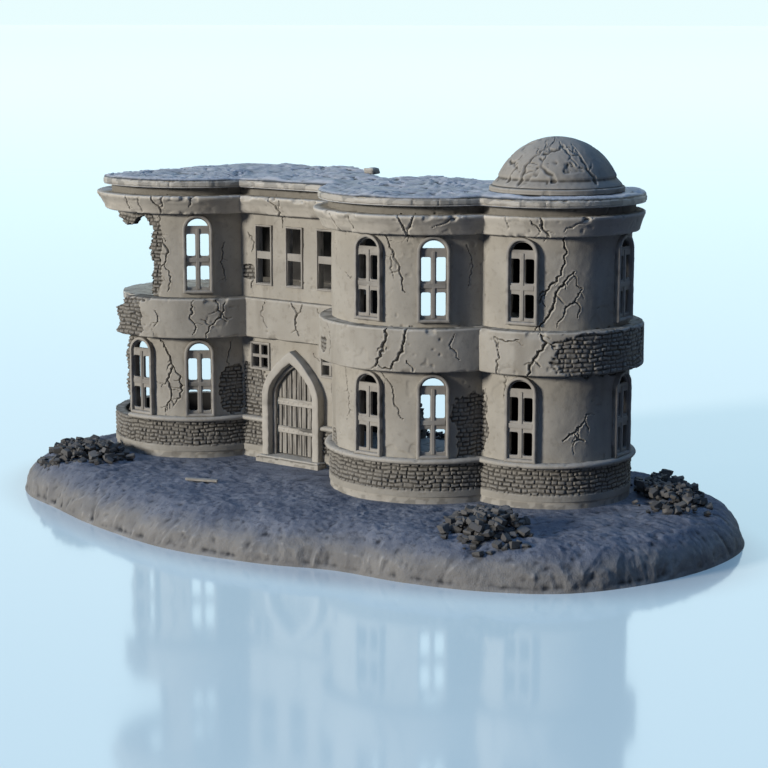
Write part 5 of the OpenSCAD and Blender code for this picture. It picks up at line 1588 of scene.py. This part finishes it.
def make_door():
    put = on_wall(DOOR_X, PLINTH_Z)
    spring = SPRING_Z - PLINTH_Z
    outer, inner = pointed_line(SURROUND_W, spring, SURROUND_RISE), pointed_line(DOORWAY_W, spring,
                                                                                 DOORWAY_RISE)
    section = [(0, 3.2), (0, 1.0), (0, -1.0), (0, -3.2), (0.03, -3.75), (0.12, -3.98), (0.3, -4.0),
               (0.6, -3.98),
               (0.84, -3.95), (0.95, -3.75), (1, -3.3), (1, -1.0), (1, 0), (0.47, 0.02), (0.47, 1.4), (0.47,
                                                                                                       3.2)]
    v, f, p = ruled(outer, inner, section, put, False, 0.13, 61, 2.2)
    place(build("door_arch_surround", v, f, p, 38), TRIM, "base", "trim_stone", "door_surround")
    A, B = pointed_line(22.76, spring, 13.86), pointed_line(19.8, spring, 12.1)
    section = [(0, -0.05), (0, -0.5), (0.05, -0.9), (0.25, -1.1), (0.7, -1.1), (0.95, -0.9), (1, -0.5),
               (1, -0.05)]
    v, f, p = ruled(A, B, section, put, False, 0.06, 67)
    place(build("door_arch_frame", v, f, p, 38), FRAMES, "base", "window_frames", "door_inner_frame")

    heap = Heap()
    rng = np.random.default_rng(71)
    for k in range(PLANK_COUNT):
        w = LEAF_W / PLANK_COUNT
        x0 = DOOR_X - LEAF_W / 2 + k * w
        gap = 0.16
        xs = np.linspace(x0 + (gap if k else 0), x0 + w - (gap if k < PLANK_COUNT - 1 else 0), 11)
        top = pointed_top(xs - DOOR_X, LEAF_W, SPRING_Z, LEAF_RISE)
        ts = np.linspace(0, 1, 90)
        X = np.repeat(xs[:, None], len(ts), 1)
        Z = LEAF_Z + ts[None] * (top[:, None] - LEAF_Z)
        P = np.stack([X, X * 0 + 7 * k, Z], -1)
        grain = fractal(P * (1, 1, 0.09), 0.8, 4, 73)
        h = 0.11 * grain + 0.10 * noise(P * (0, 1, 0.2), 2.0,
                                        74) - rounded(np.minimum(X - xs[0], xs[-1] - X), 0.4)
        h += 0.10 * rng.uniform(-1, 1) - 0.12
        knot = noise(P * (1, 1, 0.5), 2.2, 75 + k)
        h -= 0.12 * smoothstep(0.6, 0.8, knot)
        paint = np.stack([np.clip(-2.0 * grain + rounded(np.minimum(X - xs[0], xs[-1] - X), 0.4) * 1.8, 0,
                                  1) * 0.5,
                          X * 0, X * 0 + rng.random(), np.clip(grain * 2, 0, 1)], -1)
        front = np.stack([X, LEAF_Y - h, Z], -1)
        back = np.stack([X, X * 0 + LEAF_Y + LEAF_T, Z], -1)
        keep = np.ones((len(xs) - 1, len(ts) - 1), bool)
        heap.add(*shell(front, back, keep, paint, paint * 0.5, False, 3, 0.02))
    place(heap.build("door_planks", 40), TIMBER, "door", "painted_timber", "door_leaf")
    heap = Heap()
    for j, z in enumerate((PLINTH_Z + 10.5, PLINTH_Z + 22)):
        xs = np.linspace(DOOR_X - LEAF_W / 2 + 0.9, DOOR_X + LEAF_W / 2 - 0.9, 80)
        zs = np.linspace(z - 1.5, z + 1.5, 14)
        X, Z = np.meshgrid(xs, zs, indexing="ij")
        P = np.stack([X, X * 0, Z], -1)
        grain = fractal(P * (0.09, 1, 1), 0.8, 4, 81 + j)
        h = 0.08 * grain - rounded(np.minimum(Z - zs[0], zs[-1] - Z),
                                   0.35) - rounded(np.minimum(X - xs[0], xs[-1] - X), 0.3)
        for k in range(PLANK_COUNT):
            nail = np.hypot(X - (DOOR_X - LEAF_W / 2 + (k + 0.5) * LEAF_W / PLANK_COUNT), Z - z)
            h += 0.22 * smoothstep(0.5, 0.25, nail)
        paint = np.stack([np.clip(-2.5 * grain, 0, 1) * 0.6, X * 0, X * 0 + 0.9, np.clip(grain * 2, 0, 1)],
                         -1)
        front = np.stack([X, LEAF_Y - 0.6 - h, Z], -1)
        back = np.stack([X, X * 0 + LEAF_Y + 0.05, Z], -1)
        heap.add(*shell(front, back, np.ones((79, 13), bool), paint, paint * 0.5, False, 3, 0.02))
    place(heap.build("door_crossboards", 40), BOARD, "door", "painted_timber", "door_battens")

    X, Y = np.meshgrid(np.linspace(DOOR_X - 16.3, DOOR_X + 16.3, 70), np.linspace(-4.6, 0.8, 14),
                       indexing="ij")
    P = in_plan(X, Y)
    d = np.minimum.reduce([X - X.min(), X.max() - X, Y - Y.min()])
    h = 0.16 * fractal(P, 4, 3, 85) - rounded(d, 0.7) - 0.3 * smoothstep(0.35, 0.55,
                                                                         noise(P, 3.5, 86)) * smoothstep(1.6,
                                                                                                         0, d)
    top = np.stack([X, Y, PLINTH_Z - 0.05 + h], -1)
    low = np.stack([X, Y, X * 0 + GROUND_Z - 0.5], -1)
    paint = paint_from(h, X * 0, X * 0)
    v = shell(top, low, np.ones((69, 13), bool), paint, paint * 0, False, 5, 0.12)
    place(build("door_step", *v), TRIM, "base", "trim_stone", "doorstep")


# ---------------------------------------------------------------- dome
def make_dome():
    sphere_r = (DOME[2] ** 2 + DOME_RISE ** 2) / (2 * DOME_RISE)
    centre = np.array([DOME[0], DOME[1], DOME_FOOT_Z + DOME_RISE - sphere_r])
    low = math.asin((DOME_FOOT_Z - centre[2]) / sphere_r)
    theta = np.radians(np.linspace(0, 360, 361)[:-1])
    phi = np.linspace(low, math.radians(89.6), 66)
    T, F = np.meshgrid(theta, phi, indexing="ij")
    D = np.stack([np.cos(F) * np.cos(T), np.cos(F) * np.sin(T), np.sin(F)], -1)
    P = centre + sphere_r * D

    def on_dome(segs):
        out = []
        for a, b, w0, w1, depth in segs:
            ends = []
            for q in (a, b):
                t, f = math.radians(q[0]), math.radians(q[1])
                ends.append(centre + sphere_r * np.array([math.cos(f) * math.cos(t),
                                                          math.cos(f) * math.sin(t), math.sin(f)]))
            out.append((ends[0], ends[1], w0, w1, depth))
        return out

    rng = np.random.default_rng(19)
    segs = []
    for az, el, heading, length in ((-95, 18, 62, 70), (-60, 22, 115, 46), (-20, 20, 95, 50),
                                    (-130, 40, -20, 40),
                                    (20, 25, 80, 40), (80, 25, 100, 44), (150, 20, 70, 50), (-75, 50, 10, 50),
                                    (-48, 62, -70, 36), (-110, 20, 90, 22)):
        segs += on_dome(crack(rng, (az, el), heading, length, 0.9, 0.75, twigs=0.45, step=5, bend=38))
    W = P + 0.5 * jitter(P, 1.8, (131, 132, 133))
    h = -crack_field(W, segs)
    h += 0.22 * fractal(P, 9, 3, 134) + 0.06 * noise(P, 1.2, 135)
    h -= 0.45 * smoothstep(0.5, 0.72, noise(P, 2.4, 136)) * smoothstep(-0.2, 0.4, noise(P, 12, 137))
    h -= 0.35 * smoothstep(0.26, 0.34, fractal(P, 13, 4, 138, 0.6))
    foot = P[..., 2] - DOME_FOOT_Z
    h += 0.9 * smoothstep(2.4, 0.0, foot) - 0.4 * smoothstep(0.9, 0.0, np.abs(foot - 3.0))
    paint = paint_from(h, np.zeros(h.shape), np.zeros(h.shape))
    outer = P + D * h[..., None]
    inner = centre + (sphere_r - DOME_WALL) * D
    inner[..., 2] = np.maximum(inner[..., 2], DOME_FOOT_Z)
    keep = np.ones((len(theta), len(phi) - 1), bool)
    verts, faces, paint = shell(outer, inner, keep, paint, paint * 0, True, 3, 0.0)
    n = len(theta) * len(phi)
    tops = np.arange(len(theta)) * len(phi) + len(phi) - 1
    verts[tops] = centre + (0, 0, sphere_r)
    verts[tops + n] = centre + (0, 0, sphere_r - DOME_WALL)
    place(build("dome_skin", verts, faces, paint, 50), DOME_PAINT, "dome", "weathered_wall", "dome_shell")

    heap = Heap()
    for radius, thick, z0, z1, trim, rows in ((25.2, 7.8, SLAB_TOP, DOME_FOOT_Z, 0.5, 7),
                                              (19.5, 2.1, SLAB_Z + 0.5, SLAB_TOP, 0.0, 5)):
        path = arc((DOME[0], DOME[1], radius), (-180, 180, 0.5))
        z = np.linspace(z0, z1, rows)
        Z = np.repeat(z[None], len(path["s"]), 0)
        Pr = off_path(path, 0 * Z, Z)
        h = 0.12 * fractal(Pr, 5, 3, 141) - 0.35 * smoothstep(0.3, 0.5, noise(Pr, 5, 142))
        h = (h - rounded(z1 - Z, 0.6) - rounded(Z - z0, 0.5)) * (trim > 0)
        outer, inner = off_path(path, h, Z), off_path(path, 0 * Z - thick, Z)
        pr = paint_from(h, h * 0, h * 0)
        keep = np.ones((len(Z), rows - 1), bool)
        heap.add(*shell(outer, inner, keep, pr, pr * 0, True, 6, 0.05))
    place(heap.build("dome_base_ring"), DOME_PAINT, "dome", "weathered_wall", "dome_ring")


def make_stub():
    v = stone_verts(np.array([2.25, 3.0, 1.5]), 5, 7.0, 0.3) + np.array([-28.75, 46.0, SLAB_TOP + 1.1])
    paint = np.zeros((len(v), 4))
    paint[:, 1], paint[:, 2] = 1.0, 0.5
    place(build("parapet_lump", v, BLOCK[1], paint, 60), SLATE, "roof", "roof_slate", "parapet_stub")


make_terrain()
make_foundation()
make_floors()
make_roof()
make_windows()
make_door()
make_dome()
make_stub()
make_planks()
make_rubble("rubble_heap_left", "rubble_left", (-111, -42), 38, (40, 38), 5.5, 400, 11, 2.6)
make_rubble("rubble_heap_front", "rubble_front", (92.5, -45), -52, (40, 30), 6, 300, 23, 2.6)
make_rubble("rubble_heap_right", "rubble_right", (116, 40), 132, (56, 27), 4.8, 340, 37, 2.5)
make_rubble("rubble_heap_rear", "rubble_rear", (-16, 73.2), 0, (44, 8.5), 3.5, 150, 41, 1.5)
for node in ("door_hinge_pins", "door_hinge_barrels", "upper_storey_pegs", "roof_pegs"):
    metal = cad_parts[node]
    metal.data.materials.clear()
    metal.data.materials.append(STEEL)
